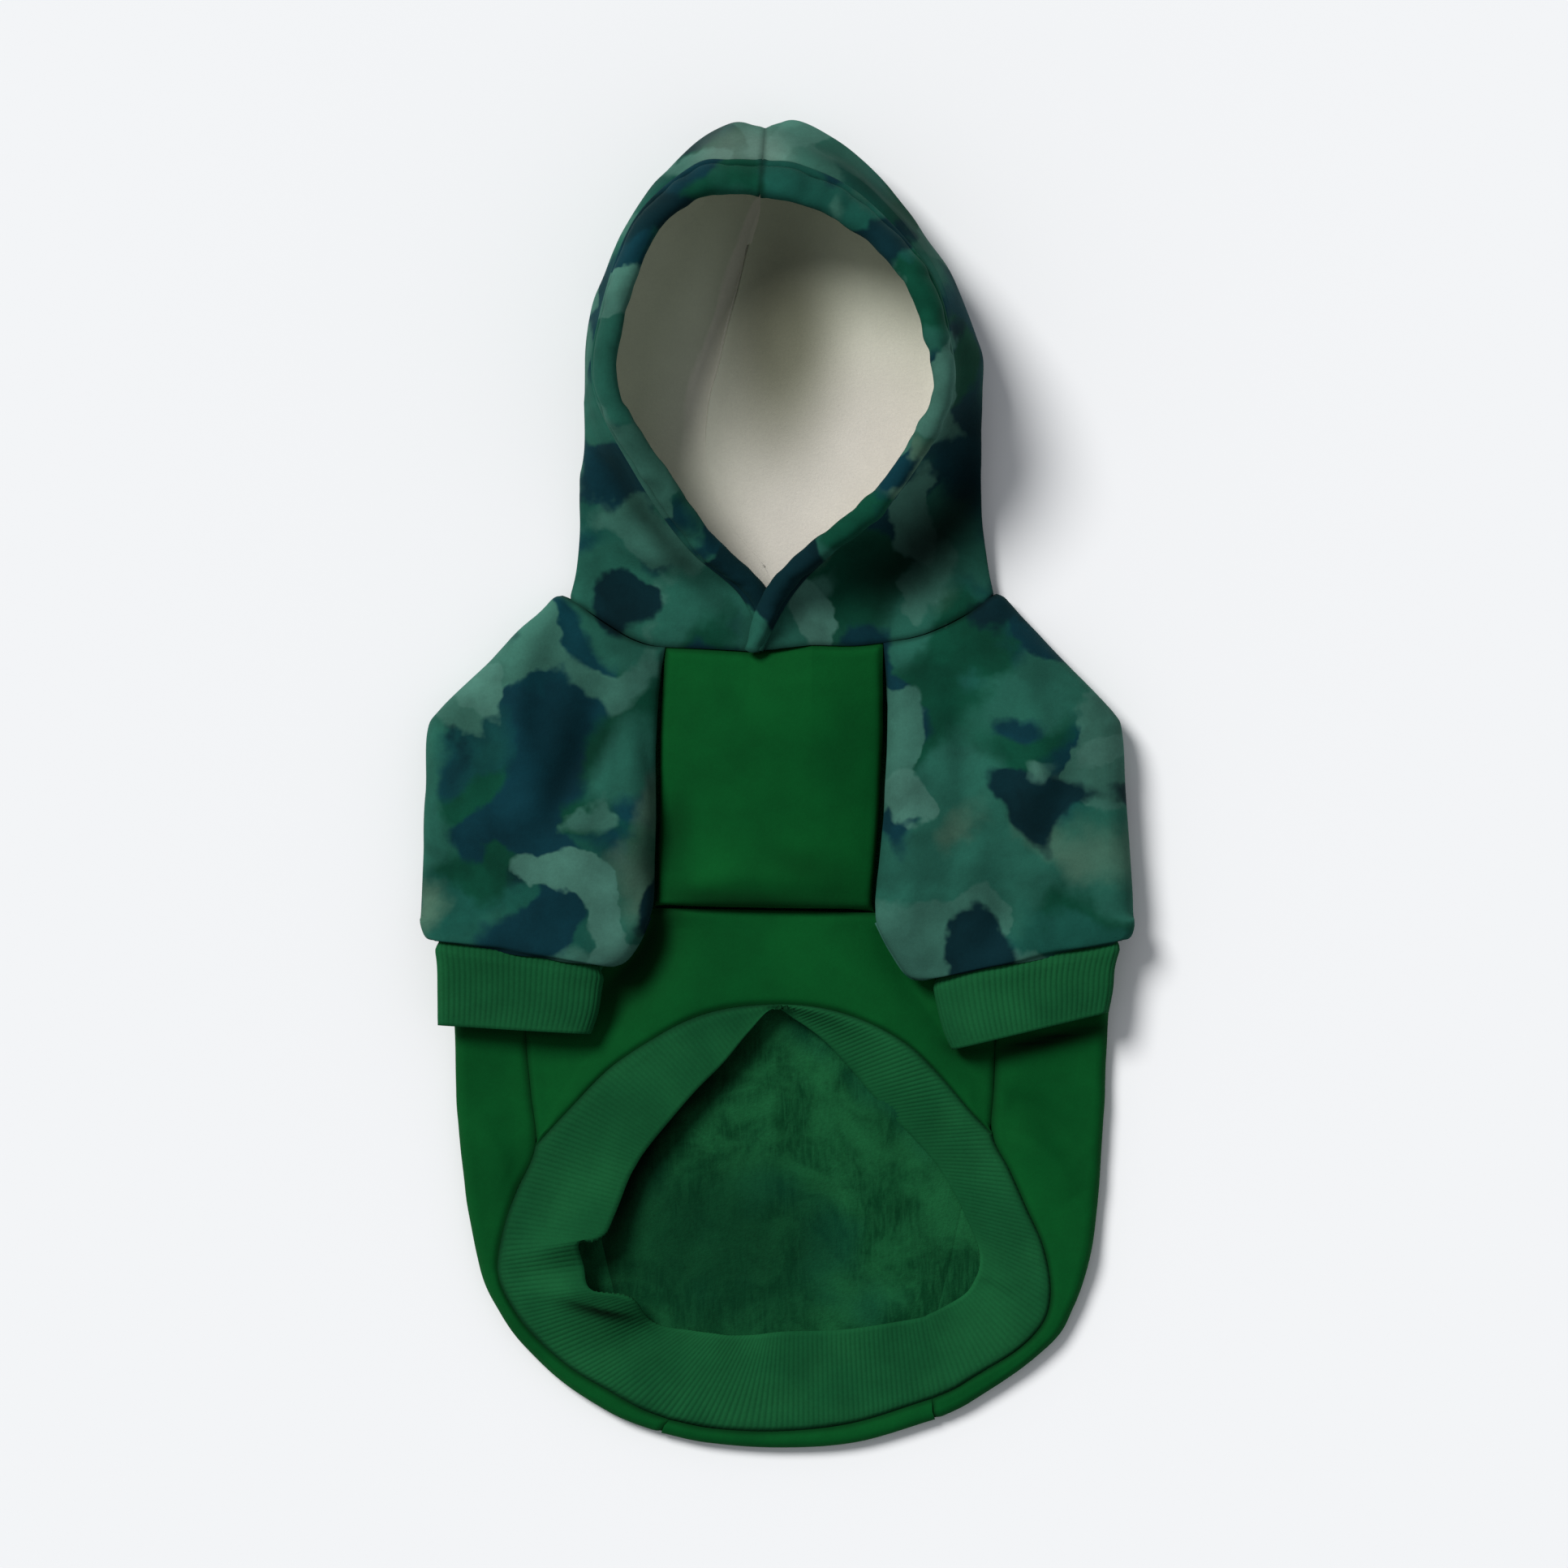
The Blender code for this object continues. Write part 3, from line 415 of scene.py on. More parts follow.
# Random swells of the cloth: height, size of the bumps, place in the lattice of random values
SWELLS = {
    "hood": ((0.0020, 0.034, 1.0), (0.0006, 0.014, 4.0)),
    "sleeve": ((0.0026, 0.033, 6.0), (0.0008, 0.014, 2.0)),
    "side": ((0.0016, 0.032, 3.0), (0.0004, 0.013, 5.0)),
    "chest": ((0.0010, 0.034, 2.0),),
    "belly": ((0.0012, 0.034, 8.0),),
    "back": ((0.0010, 0.035, 5.0), (0.0007, 0.013, 1.0)),
}

# How far from its seams a piece's folds are full, and the height where they start and how much higher they
# are full
FREE = {"hood": 0.008, "sleeve": 0.012, "side": 0.010, "chest": 0.008, "belly": 0.010, "back": 0.020}
FREE["band"] = 0.008
LIFTS = {"hood": (0.005, 0.014), "sleeve": (0.004, 0.008), "side": (0.003, 0.005)}

# From the throat to the crown, how upright the hood's wall is near the floor, how far it runs level from
# the rim, and how far its upright part leans in
HOOD_STAND = {
    "left": ((0.8, 0.4, 0.0),) * 9,
    "right": (
        (0.8, 0.4, 0.0),
        (0.7, 0.4, 0.0),
        (0.4, 0.4, 0.0),
        (0.3, 0.4, 0.0),
        (0.6, 0.32, 0.05),
        (0.9, 0.20, 0.22),
        (0.9, 0.17, 0.27),
        (0.9, 0.20, 0.25),
        (0.8, 0.4, 0.0),
    ),
}

# How far the face opening's edge is set back and turned down, in metres, from the throat to the crown
HEM_SET_BACK = {
    "left": (0.0, 0.0015, 0.0025, 0.0025, 0.0010, 0.0, 0.0, 0.0, 0.0, 0.0),
    "right": (0.0, 0.0015, 0.0020, 0.0028, 0.0036, 0.0012, 0.0, 0.0, 0.0, 0.0),
}
HEM_TILT = {
    "left": (0.0, 0.0020, 0.0050, 0.0050, 0.0030, 0.0010, 0.0, 0.0, 0.0, 0.0),
    "right": (0.0,) * 10,
}

# Folds: path of x, y in millimetres, rise in millimetres, half widths left and right of the path
FOLDS = {
    "hood_left": (
        (((-93, 150), (-80, 128), (-62, 112), (-30, 94)), 3.0, 6.0, 8.0),
        (((-96, 190), (-88, 160), (-70, 134)), -2.4, 6.0, 7.0),
    ),
    "hood_right": (
        (((-3, 322), (6, 312), (32, 296), (58, 273), (84, 245), (98, 212)), 3.0, 5.0, 6.0),
        (((88, 165), (74, 138), (50, 116)), -3.4, 13.0, 13.0),
        (((20, 98), (50, 104), (86, 112)), 2.6, 9.0, 9.0),
    ),
    "sleeve_left": (
        (((-109, 90), (-123, 61), (-127, 27), (-117, -6)), 6.5, 9.0, 13.0),
        (((-88, 60), (-90, 30), (-102, 2), (-112, -26)), -8.0, 10.0, 11.0),
        (((-76, 40), (-70, 0), (-74, -44)), 3.5, 9.0, 7.0),
        (((-158, 26), (-146, -16), (-120, -44), (-90, -60)), 4.0, 10.0, 12.0),
    ),
    "sleeve_right": (
        (((100, 90), (120, 50), (128, 10), (120, -40)), 4.6, 13.0, 10.0),
        (((84, 60), (92, 20), (90, -30)), -5.0, 9.0, 9.0),
        (((62, 40), (64, 0), (66, -50)), 3.0, 7.0, 9.0),
        (((160, 25), (148, -16), (124, -52)), 3.6, 13.0, 9.0),
        (((106, -30), (112, -60), (104, -86)), -3.6, 9.0, 9.0),
    ),
    "chest_panel": ((((-50, -52), (-20, -45), (20, -47), (44, -52)), 1.2, 6.0, 5.0),),
    "belly_panel": (
        (((-58, -60), (-62, -80), (-80, -104), (-100, -118)), -5.0, 12.0, 10.0),
        (((50, -66), (62, -90), (78, -112)), -2.8, 9.0, 8.0),
    ),
    "side_panel_left": ((((-152, -160), (-138, -182), (-130, -205)), 3.2, 7.0, 9.0),),
    "side_panel_right": (
        (((112, -172), (130, -181), (148, -204)), 3.6, 6.0, 9.0),
        (((108, -152), (128, -160), (152, -184)), -2.6, 6.0, 7.0),
    ),
    "hem_band": ((((95, -244), (108, -248), (120, -257)), -1.4, 3.0, 5.0),),
}

# Painted shade of cast shadows and deep creases, darkened into the cloth's colour: path in millimetres, how
# dark, half widths left and right of it
PAINTED_SHADES = {
    "belly_panel": (
        (((-50, -30), (-56, -56), (-66, -82), (-82, -100), (-92, -118)), 0.80, 13.0, 6.0),
        (((78, -126), (95, -131), (128, -124.5)), 0.50, 3.0, 4.0),
        (((-150, -120), (-122, -121), (-92, -123)), 0.45, 2.0, 3.0),
    ),
    "side_panel_left": ((((-165, -119), (-140, -120), (-112, -122)), 0.45, 2.0, 3.0),),
    "side_panel_right": ((((100, -132), (132, -125), (170, -117)), 0.95, 3.5, 5.0),),
    "hem_band": ((((-106, -253), (-92, -257), (-80, -260), (-68, -262)), 0.92, 1.6, 3.6),),
    "back_panel": (
        (((-2, -110), (-24, -137), (-52, -162), (-72, -192), (-81, -220), (-92, -244)), 0.93, 8.0, 6.0),
        (((-96, -224), (-91, -240), (-78, -252)), 0.75, 8.0, 6.0),
    ),
    "chest_panel": (
        (((-60, -56), (-20, -57), (52, -60)), 0.62, 7.0, 4.0),
        (((-16, 78), (2, 77), (26, 78)), 0.55, 4.0, 8.0),
        (((-8, -36), (14, -40), (42, -50)), 0.30, 9.0, 9.0),
        (((-46, 0), (-52, -24), (-54, -46)), 0.35, 8.0, 6.0),
    ),
    "hood_left": ((((-90, 178), (-72, 142), (-46, 108), (-18, 78)), 0.50, 6.0, 6.0),),
    "hood_right": (
        (((30, 88), (68, 112), (94, 146), (103, 204)), 0.88, 18.0, 20.0),
        (((12, 313), (36, 300), (58, 278), (80, 250)), 0.50, 5.0, 8.0),
    ),
    "sleeve_left": ((((-120, -18), (-92, 14), (-66, 48)), 0.50, 9.0, 9.0),),
}

# Camo print: how its edges wander, as scale, detail and push, the tones of its wash, where each finish lies
# in it, the ground colour, and each layer's colour, size, level, edge width and number
CAMO_EDGES = ((20.0, 1.0, 0.030), (105.0, 2.0, 0.010))
CAMO_WASH = (0.74, 1.22)
CAMO_SHIFT, HEM_SHIFT = (2.6, 0.8, 1.1), (3.12, 0.42, 0.88)
CAMO_BASE = (20, 72, 62)
CAMO_LAYERS = (
    ((8, 50, 58), 12.0, 0.48, 0.050, 0),
    ((9, 62, 46), 15.0, 0.53, 0.030, 1),
    ((32, 84, 71), 15.0, 0.54, 0.040, 2),
    ((66, 98, 82), 15.0, 0.68, 0.050, 7),
    ((8, 46, 55), 19.0, 0.575, 0.022, 3),
    ((50, 94, 82), 18.0, 0.60, 0.014, 4),
    ((6, 35, 41), 21.0, 0.645, 0.022, 5),
    ((62, 105, 93), 20.0, 0.645, 0.013, 6),
)

# Colours of the cloths in 0 to 255 steps, with the painted highlights, painted shade and painted shadow among
# them
CROWN_PAINTED_HIGHLIGHT = (96, 118, 108)
GREEN_DARK, GREEN_LIGHT = (3, 69, 28), (5, 76, 31)
INSIDE_DARK, INSIDE_LIGHT, INSIDE_PAINTED_SHADE = (5, 54, 28), (24, 88, 50), (4, 45, 26)
INSIDE_NAP, INSIDE_TEAL = (24, 86, 50), (8, 62, 46)
RIB_DARK, RIB_LIGHT, RIB_GROOVE_PAINTED_SHADE = (15, 74, 41), (21, 84, 47), (6, 50, 27)
CREAM_DARK, CREAM_LIGHT, SEAM_PAINTED_HIGHLIGHT_COLOUR = (206, 201, 192), (213, 209, 200), (214, 210, 198)
CREAM_PAINTED_SHADE, CREAM_PAINTED_FOLD_SHADOW = (188, 194, 172), (96, 98, 78)

# Soft spots of painted light and shade: centre, squeeze along x and y, near and far reach in metres, strength
# near and far
CROWN_PAINTED_HIGHLIGHT_SPOT = ((-0.016, 0.305), (0.9, 1.1), 0.010, 0.028, 0.6, 0.0)
INSIDE_PAINTED_SHADE_SPOT = ((-0.030, -0.228), (0.8, 1.0), 0.015, 0.070, 0.7, 0.0)
LINING_PAINTED_SHADE_SPOT = ((0.045, 0.125), (1.0, 0.85), 0.035, 0.140, 0.0, 1.0)
LINING_PAINTED_FOLD_SHADOW_SPOT = ((0.002, 0.222), (1.0, 0.45), 0.006, 0.046, 0.85, 0.0)

# Grain of the cloths as scale, detail and roughness: fine, in knots and worn, and the tones of the wear
GRAINS = ((2600.0, 2.0, 0.6), (700.0, 2.0, 0.6), (42.0, 3.0, 0.6))
WEAR_TONES = (-0.10, 0.08)
CLOTH_GLOSS = 0.06

# Finishes: name, roughness, sheen and its tint, share of the grain, bump depth and strength, how much a
# seam darkens it, and its wear
LOOKS = {
    "camo": ("camo_fleece_cloth", 0.88, 0.05, (110, 190, 165), 0.25, 0.0003, 0.35, 0.55, 1.0),
    "hem": ("hem_fleece_cloth", 0.88, 0.05, (110, 190, 165), 0.25, 0.0003, 0.35, 0.55, 1.0),
    "green": ("green_fleece_cloth", 0.85, 0.03, (40, 190, 90), 0.2, 0.0003, 0.3, 0.55, 1.0),
    "brushed": ("brushed_fleece_cloth", 0.95, 0.08, (70, 190, 120), 0.5, 0.0008, 0.6, 0.0, 1.0),
    "rib": ("rib_knit_cloth", 0.86, 0.04, (80, 190, 120), 0.3, 0.0003, 0.4, 0.55, 1.0),
    "lining": ("hood_lining_cloth", 0.93, 0.12, (240, 236, 228), 0.12, 0.0005, 0.35, 0.12, 0.3),
}

# Floor, light, sky and view
FLOOR_COLOUR, FLOOR_DROP = (246, 247, 249), 0.0002
KEY_STRENGTH, KEY_WIDTH, KEY_HEIGHT, KEY_BEARING = 3.05, 22.0, 45.0, -135.0
KEY_COLOUR, SKY_COLOUR, SKY_STRENGTH = (1.0, 0.995, 0.98), (0.93, 0.96, 1.0, 1.0), 0.31
VIEW_CENTRE, VIEW_WIDTH, VIEW_HEIGHT = (0.0034, 0.0006), 0.7728, 5.0


def sleeve_point(x, y, z=0.0):
    return np.array((x * SHOULDER_SPAN / 2, NECK_Y - y * ARMHOLE_DEPTH, z))


def trunk_point(x, y, z=0.0):
    return np.array((x * TRUNK_WIDTH / 2, NECK_Y - ARMHOLE_DEPTH - y * TRUNK_LENGTH, z))


def hood_point(x, y, z):
    return np.array((x * HOOD_WIDTH / 2, NECK_Y + y * HOOD_LENGTH, z * HOOD_HEIGHT))


def cuff_point(x, y):
    return np.array((x * SHOULDER_SPAN / 2, NECK_Y - SLEEVE_END * ARMHOLE_DEPTH - y * CUFF_LENGTH, 0.0))


def sewn_line(point, rows):
    """Points of a line given in the shares that point reads, with its height in folded edges."""
    return np.array([point(x, y, z * EDGE_HEIGHT) for x, y, z in rows])


def between(sections, picks):
    """Smooth sections at the picked places, counted in given sections."""
    s = np.asarray(sections, float)
    ends = 2 * s[:1] - s[1:2], 2 * s[-1:] - s[-2:-1]
    padded = np.concatenate((ends[0], s, ends[1]))
    whole = np.clip(np.floor(picks).astype(int), 0, len(s) - 2)
    t = (picks - whole).reshape((-1,) + (1,) * (s.ndim - 1))
    a, b, c, d = (padded[whole + step] for step in range(4))
    return 0.5 * (2 * b + (c - a) * t + (2 * a - 5 * b + 4 * c - d) * t**2 + (3 * b - a - 3 * c + d) * t**3)


def curve(points, steps=12):
    """Smooth path through the points."""
    points = np.array(points, float)
    return between(points, np.linspace(0, len(points) - 1, (len(points) - 1) * steps + 1))


def spread(sections, count):
    """Fills in smooth sections, evenly counted."""
    return between(sections, np.linspace(0, len(sections) - 1, count))


def along(path, count, start=0.0, end=None):
    """Points spaced evenly by length along a path, from start to end metres."""
    steps = np.linalg.norm(np.diff(path, axis=0), axis=1)
    length = np.concatenate(([0.0], np.cumsum(steps)))
    stations = np.linspace(start, length[-1] if end is None else end, count)
    return np.stack([np.interp(stations, length, path[:, axis]) for axis in range(3)], axis=1)


def arc(edge, inward, radius):
    """Half circle in section round a folded edge on the floor, from its top to its bottom."""
    centre = edge + inward * radius
    turns = np.linspace(math.pi / 2, -math.pi / 2, ARC_STEPS + 1)
    path = [centre - inward * radius * math.cos(t) + np.array((0, 0, math.sin(t) * radius)) for t in turns]
    path = np.array(path)
    path[:, 2] += radius
    return path


def inward_of(edge, inner):
    flat = (inner - edge) * np.array((1, 1, 0))
    return flat / np.linalg.norm(flat)


def bezier(a, b, c, d, steps=40):
    """Curve from a to d, drawn toward b and c on its way."""
    t = np.linspace(0, 1, steps)[:, None]
    return (1 - t) ** 3 * a + 3 * (1 - t) ** 2 * t * b + 3 * (1 - t) * t**2 * c + t**3 * d


def joined(*parts):
    """One row of points from (path, columns) parts, each spaced evenly and FINER times as close."""
    rows = [along(path, count * FINER + 1)[min(number, 1) :] for number, (path, count) in enumerate(parts)]
    return np.vstack(rows)


def lengths(points, axis):
    """Running length of a grid of points in metres along one of its axes."""
    steps = np.linalg.norm(np.diff(points, axis=axis), axis=2)
    start = np.zeros_like(steps.take([0], axis=axis))
    return np.concatenate((start, np.cumsum(steps, axis=axis)), axis=axis)


def to_seam(points, seams):
    """Distance in metres from each point to the nearest of the named sides of its grid."""
    down, across = lengths(points, 0), lengths(points, 1)
    sides = {"start": down, "end": down[-1:] - down, "first": across, "last": across[:, -1:] - across}
    return np.minimum.reduce([sides[side] for side in seams] or [np.full(points.shape[:2], 1.0)])


def ramp(value, low, length):
    """Rises evenly from 0 to 1 over a length past low."""
    return np.clip((value - low) / length, 0, 1)


def bell(distance, width):
    """Falls softly from 1 to 0 with distance."""
    return np.exp(-((distance / width) ** 2))


def free_of_seams(kind, points, seams=ALL_SIDES):
    """0 at the named sides of a piece's grid and 1 where its folds are full."""
    return ramp(to_seam(points, seams), 0.0, FREE[kind])


def outward(points, flip):
    """Unit normals of a grid of points."""
    facing = np.cross(np.gradient(points, axis=1), np.gradient(points, axis=0))
    facing /= np.linalg.norm(facing, axis=2, keepdims=True) + 1e-12
    return -facing if flip else facing


LATTICE = np.random.RandomState(11).rand(32, 32, 32)


def ripple(points, size, place=0.0):
    """Soft random swell from -1 to 1, with bumps of the given size in metres."""
    near = points / np.asarray(size) + 3.7 * place + 0.31
    whole = np.floor(near).astype(int)
    part = near - whole
    part = part * part * (3 - 2 * part)
    total = np.zeros(points.shape[:-1])
    for corner in np.ndindex(2, 2, 2):
        cell = (whole + corner) % len(LATTICE)
        share = np.prod(np.where(np.array(corner) == 1, part, 1 - part), axis=-1)
        total += share * LATTICE[cell[..., 0], cell[..., 1], cell[..., 2]]
    return 2 * total - 1


def swells(kind, points, lift=0.0):
    """Random swell of a kind of cloth piece, each part of it raised by lift times its height."""
    return sum(height * (lift + ripple(points, size, place)) for height, size, place in SWELLS[kind])


def fold(points, path, rise, left, right):
    """Height of a soft ridge, or crease where rise is below 0, along a path of x, y in millimetres.
    left and right are its half widths on the two sides of the path."""
    line = curve([(x / 1000, y / 1000, 0) for x, y in path], 10)[:, :2]
    flat = points[..., :2].reshape(-1, 2)
    best, side, place = np.full(len(flat), 9.0), np.zeros(len(flat)), np.zeros(len(flat))
    for number, (a, b) in enumerate(zip(line, line[1:])):
        run = b - a
        t = np.clip((flat - a) @ run / (run @ run), 0, 1)
        off = flat - a - t[:, None] * run
        distance = np.linalg.norm(off, axis=1)
        closer = distance < best
        best = np.where(closer, distance, best)
        side = np.where(closer, run[0] * off[:, 1] - run[1] * off[:, 0], side)
        place = np.where(closer, (number + t) / (len(line) - 1), place)
    width = np.where(side > 0, left, right) / 1000
    fade = np.clip(np.sin(math.pi * np.clip(place, 0.04, 0.96)), 0, 1) ** 0.7
    return (rise / 1000 * fade * bell(best, width)).reshape(points.shape[:-1])


def folds(name, points):
    return sum(fold(points, *crease) for crease in FOLDS[name])


def painted_shade(name, points):
    """How dark the painted shade of a piece's cast shadows and deep creases is at each point."""
    dark = sum(fold(points, path, share * 1000, *widths) for path, share, *widths in PAINTED_SHADES[name])
    return np.clip(dark, 0, 0.95)


def lay(name, points, wall, finish, flip=False, closed=False, cut=None, seams=(), dip=SEAM_DIP,
        dip_width=DIP_WIDTH, round_edge=EDGE_ROUND, extra=None, inside=None):
    """Lays a fine grid of cloth over the points in place of a frame node, gives it its wall and rounds its
    edges. seams are the sides where it dips, cut is the rows and columns left open, extra holds marks for
    the finish, and inside is the finish of the wall's inner face."""
    rows, cols = points.shape[:2]
    distance = to_seam(points, seams)
    pucker = PUCKER * ripple(points, PUCKER_SIZE) * np.exp(-distance / PUCKER_REACH)
    sink = dip * bell(distance, dip_width) + pucker
    points = points - outward(points, flip) * sink[..., None]
    points[..., 2] = np.maximum(points[..., 2], 0.0)
    bpy.ops.object.select_all(action="DESELECT")
    bpy.ops.mesh.primitive_grid_add(x_subdivisions=cols - 1, y_subdivisions=rows - 1, size=1)
    piece = bpy.context.object
    piece.name = piece.data.name = f"{name}_cloth"
    mesh = piece.data
    mesh.vertices.foreach_set("co", points.reshape(-1))
    corner_of = np.empty(len(mesh.loops), int)
    mesh.loops.foreach_get("vertex_index", corner_of)
    cloth = np.stack((lengths(points, 1), lengths(points, 0)), axis=-1).reshape(-1, 2)
    mesh.uv_layers[0].name = "cloth"
    mesh.uv_layers["cloth"].data.foreach_set("uv", cloth[corner_of].reshape(-1).astype(np.float32))
    marks = {"seam": bell(distance, SEAM_TONE_WIDTH), **(extra or {})}
    # Painted shade of cast shadows and creases, kept as the shade attribute for the finish
    if name in PAINTED_SHADES:
        marks["shade"] = painted_shade(name, points)
    for mark, values in marks.items():
        layer = mesh.attributes.new(mark, "FLOAT", "POINT")
        layer.data.foreach_set("value", np.ascontiguousarray(values, dtype=np.float32).reshape(-1))
    mesh.update()
    if cut is not None:
        cut_open(piece, rows, cols, cut)
    bpy.ops.object.mode_set(mode="EDIT")
    bpy.ops.mesh.select_all(action="SELECT")
    if closed:
        bpy.ops.mesh.remove_doubles(threshold=0.00002)
    if flip:
        bpy.ops.mesh.flip_normals()
    bpy.ops.object.mode_set(mode="OBJECT")
    piece.data.materials.clear()
    piece.data.materials.append(finish)
    wall_step = piece.modifiers.new("wall", "SOLIDIFY")
    wall_step.thickness, wall_step.offset = wall, -1
    if inside:
        piece.data.materials.append(inside)
        wall_step.material_offset = 1
    bpy.ops.object.modifier_apply(modifier="wall")
    if round_edge:
        rounding = piece.modifiers.new("rounding", "BEVEL")
        rounding.width, rounding.segments = round_edge, 2
        rounding.limit_method, rounding.angle_limit = "ANGLE", math.radians(ROUND_FROM)
        bpy.ops.object.modifier_apply(modifier="rounding")
    places = np.empty(len(piece.data.vertices) * 3, np.float32)
    piece.data.vertices.foreach_get("co", places)
    places[2::3] = np.maximum(places[2::3], 0.0)
    piece.data.vertices.foreach_set("co", places)
    bpy.ops.object.shade_smooth()
    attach(piece, "root")
    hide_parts(name)


def cut_open(piece, rows, cols, cut):
    """Takes out the faces of a grid between the first and last rows and columns of the cut."""
    number = np.arange((rows - 1) * (cols - 1))
    row, col = number // (cols - 1), number % (cols - 1)
    gone = (row >= cut[0]) & (row < cut[1]) & (col >= cut[2]) & (col < cut[3])
    bpy.ops.object.mode_set(mode="EDIT")
    bpy.ops.mesh.select_mode(type="FACE")
    bpy.ops.mesh.select_all(action="DESELECT")
    bpy.ops.object.mode_set(mode="OBJECT")
    piece.data.polygons.foreach_set("select", gone)
    bpy.ops.object.mode_set(mode="EDIT")
    bpy.ops.mesh.delete(type="FACE")
    bpy.ops.object.mode_set(mode="OBJECT")


def neck_paths(front, shoulder, corner):
    """Neck seam of one half: front, shoulder, folded corner, and back to the middle."""
    ahead = curve(sewn_line(sleeve_point, front))
    top = curve(sewn_line(sleeve_point, shoulder))
    edge, back_seam = sleeve_point(*corner[:2]), sleeve_point(corner[2], BACK_NECK_Y)
    turn = arc(edge, inward_of(edge, top[-1]), EDGE_HEIGHT / 2)
    top[-1] = turn[0]
    under = np.array((turn[-1], back_seam))
    middle = np.array((back_seam, sleeve_point(0.0, BACK_NECK_Y)))
    return ahead, top, turn, under, middle


def hood_half(side, table, paths, face_edge):
    """Hem and shell points of one hood half, in sections from the face edge down and over the floor."""
    ahead, top, turn, under, middle = paths
    start = sleeve_point(*face_edge[:2], face_edge[2] * EDGE_HEIGHT)
    over, flat = np.vstack((start, ahead, top)), np.vstack((under, middle[1:]))
    sections = [(over, turn[: HALF_ARC + 1], turn[HALF_ARC:], flat)]
    for (ex, ey, ez, slope, ox, oy, oz), meeting, wall in zip(table, HOOD_SEAM, HOOD_STAND[side]):
        stand, shelf, lean_in = wall
        rim, edge, seam = hood_point(ex, ey, ez), hood_point(ox, oy, oz), hood_point(*meeting)
        out = inward_of(rim, edge)
        run = np.linalg.norm((edge - rim)[:2])
        drop = math.radians(slope)
        lean = out * math.cos(drop) - np.array((0, 0, math.sin(drop)))
        above = edge + np.array((0, 0, edge[2] * stand)) - out * run * lean_in
        side_wall = bezier(rim, rim + lean * shelf * (run + rim[2] - edge[2]), above, edge, 120)
        steps = np.linalg.norm(side_wall - edge, axis=1)
        turn_at = int(np.argmax(steps < FLOOR_TURN * edge[2]))
        floor = edge - out * edge[2] * FLOOR_TURN
        floor[2] = 0.0
        below = bezier(edge, edge - np.array((0, 0, edge[2] * 0.6)), floor + out * edge[2] * 0.5, floor)
        reach = np.linalg.norm(seam[:2] - floor[:2])
        shift = FLOOR_SPREAD[side] * 0.3 * reach * (ey < table[-1][1])
        beside = (floor - seam) * 0.15 + np.array((shift, 0, 0))
        flat = bezier(floor, floor - out * 0.35 * reach, seam + beside, seam, 60)
        flat[:, 2] = seam[2] * np.linspace(0, 1, 60) ** FLOOR_RIDGE[side]
        sections.append((side_wall[: turn_at + 1], side_wall[turn_at:], below, flat))
    widths = HEM_WIDTH * np.array(THROAT_SHARES + (1.0,) * (len(table) - 1))
    hems = np.array([along(side_wall, 2, 0.0, width) for (side_wall, *_), width in zip(sections, widths)])
    shells = []
    for (side_wall, above, below, floor), width in zip(sections, widths):
        beyond_hem = along(side_wall, 90, start=width - 0.001)
        shells.append(joined((beyond_hem, WALL_COLUMNS), (above, 2), (below, 2), (floor, FLOOR_COLUMNS)))
    return spread(hems, HEM_ROWS), spread(shells, HOOD_ROWS)


def face_hem(side, bar, flip):
    """Turned hem round the face opening: a strip folded over the rim, drawn in by its stitched channel."""
    middle = bar.mean(axis=1)
    ahead = np.gradient(middle, axis=0)
    turns = np.linspace(HEM_OPENING, 2 * math.pi - HEM_OPENING, HEM_COLUMNS)
    wide = np.sign(np.cos(turns)) * np.abs(np.cos(turns)) ** 0.7
    deep = np.sign(np.sin(turns)) * np.abs(np.sin(turns)) ** 0.8
    channel = bell(wide - CHANNEL_AT, CHANNEL_WIDTH)
    station = np.linspace(0, len(HEM_TILT[side]) - 1, len(bar))
    back = np.interp(station, range(len(HEM_TILT[side])), HEM_SET_BACK[side])
    tilt = np.interp(station, range(len(HEM_TILT[side])), HEM_TILT[side])
    travel = lengths(middle[:, None], 0)[:, 0]
    depths = HEM_DEPTH * (0.25 + 0.75 * np.sin(ramp(travel, 0.0, HEM_TAPER) * math.pi / 2))
    rings = []
    for (a, b), forward, set_back, dip, depth in zip(bar, ahead, back, tilt, depths):
        across = (b - a) / np.linalg.norm(b - a)
        inner = np.cross(across, forward)
        inner /= np.linalg.norm(inner)
        if inner[2] > 0:
            inner = -inner
        here = (a + b) / 2
        bumps = HEM_PULLS[side], HEM_SWELL, HEM_GATHER
        pull, swell, gather = [ripple(here[None], size, place)[0] for size, place in bumps]
        centre = here + inner * depth / 2
        roll = 1 - ramp(wide, -0.15, 0.5)
        fat = 1 + 0.45 * roll + (0.22 * swell + 0.42 * gather) * (wide < CHANNEL_AT) - 0.85 * channel
        reach = np.linalg.norm(b - a) / 2 * (1 + np.where(wide < 0, 0.20 * pull, 0.0))
        reach = reach - np.where(wide < 0, set_back, 0.0)
        ring = centre + across * (wide * reach)[:, None] - inner * (deep * depth / 2 * fat)[:, None]
        ring[:, 2] -= dip * (1 - wide) / 2
        rings.append(ring)
    rings = np.array(rings)
    mark = np.maximum(bell(to_seam(rings, ("start", "end")), SEAM_TONE_WIDTH), 0.95 * channel)
    lay(f"face_hem_{side}", rings, FABRIC * HEM_WALL, FINISHES["hem"], flip=flip, seams=("start", "end"),
        dip=HEM_DIP, extra={"seam": mark})


def lapped(points, reach):
    """Runs the crown end of a hood half a little past the crown seam, so that the halves close."""
    beyond = points[-1] - points[-3]
    beyond *= reach / np.linalg.norm(beyond, axis=1, keepdims=True)
    return points + beyond * bell(to_seam(points, ("end",)), 0.003)[..., None]


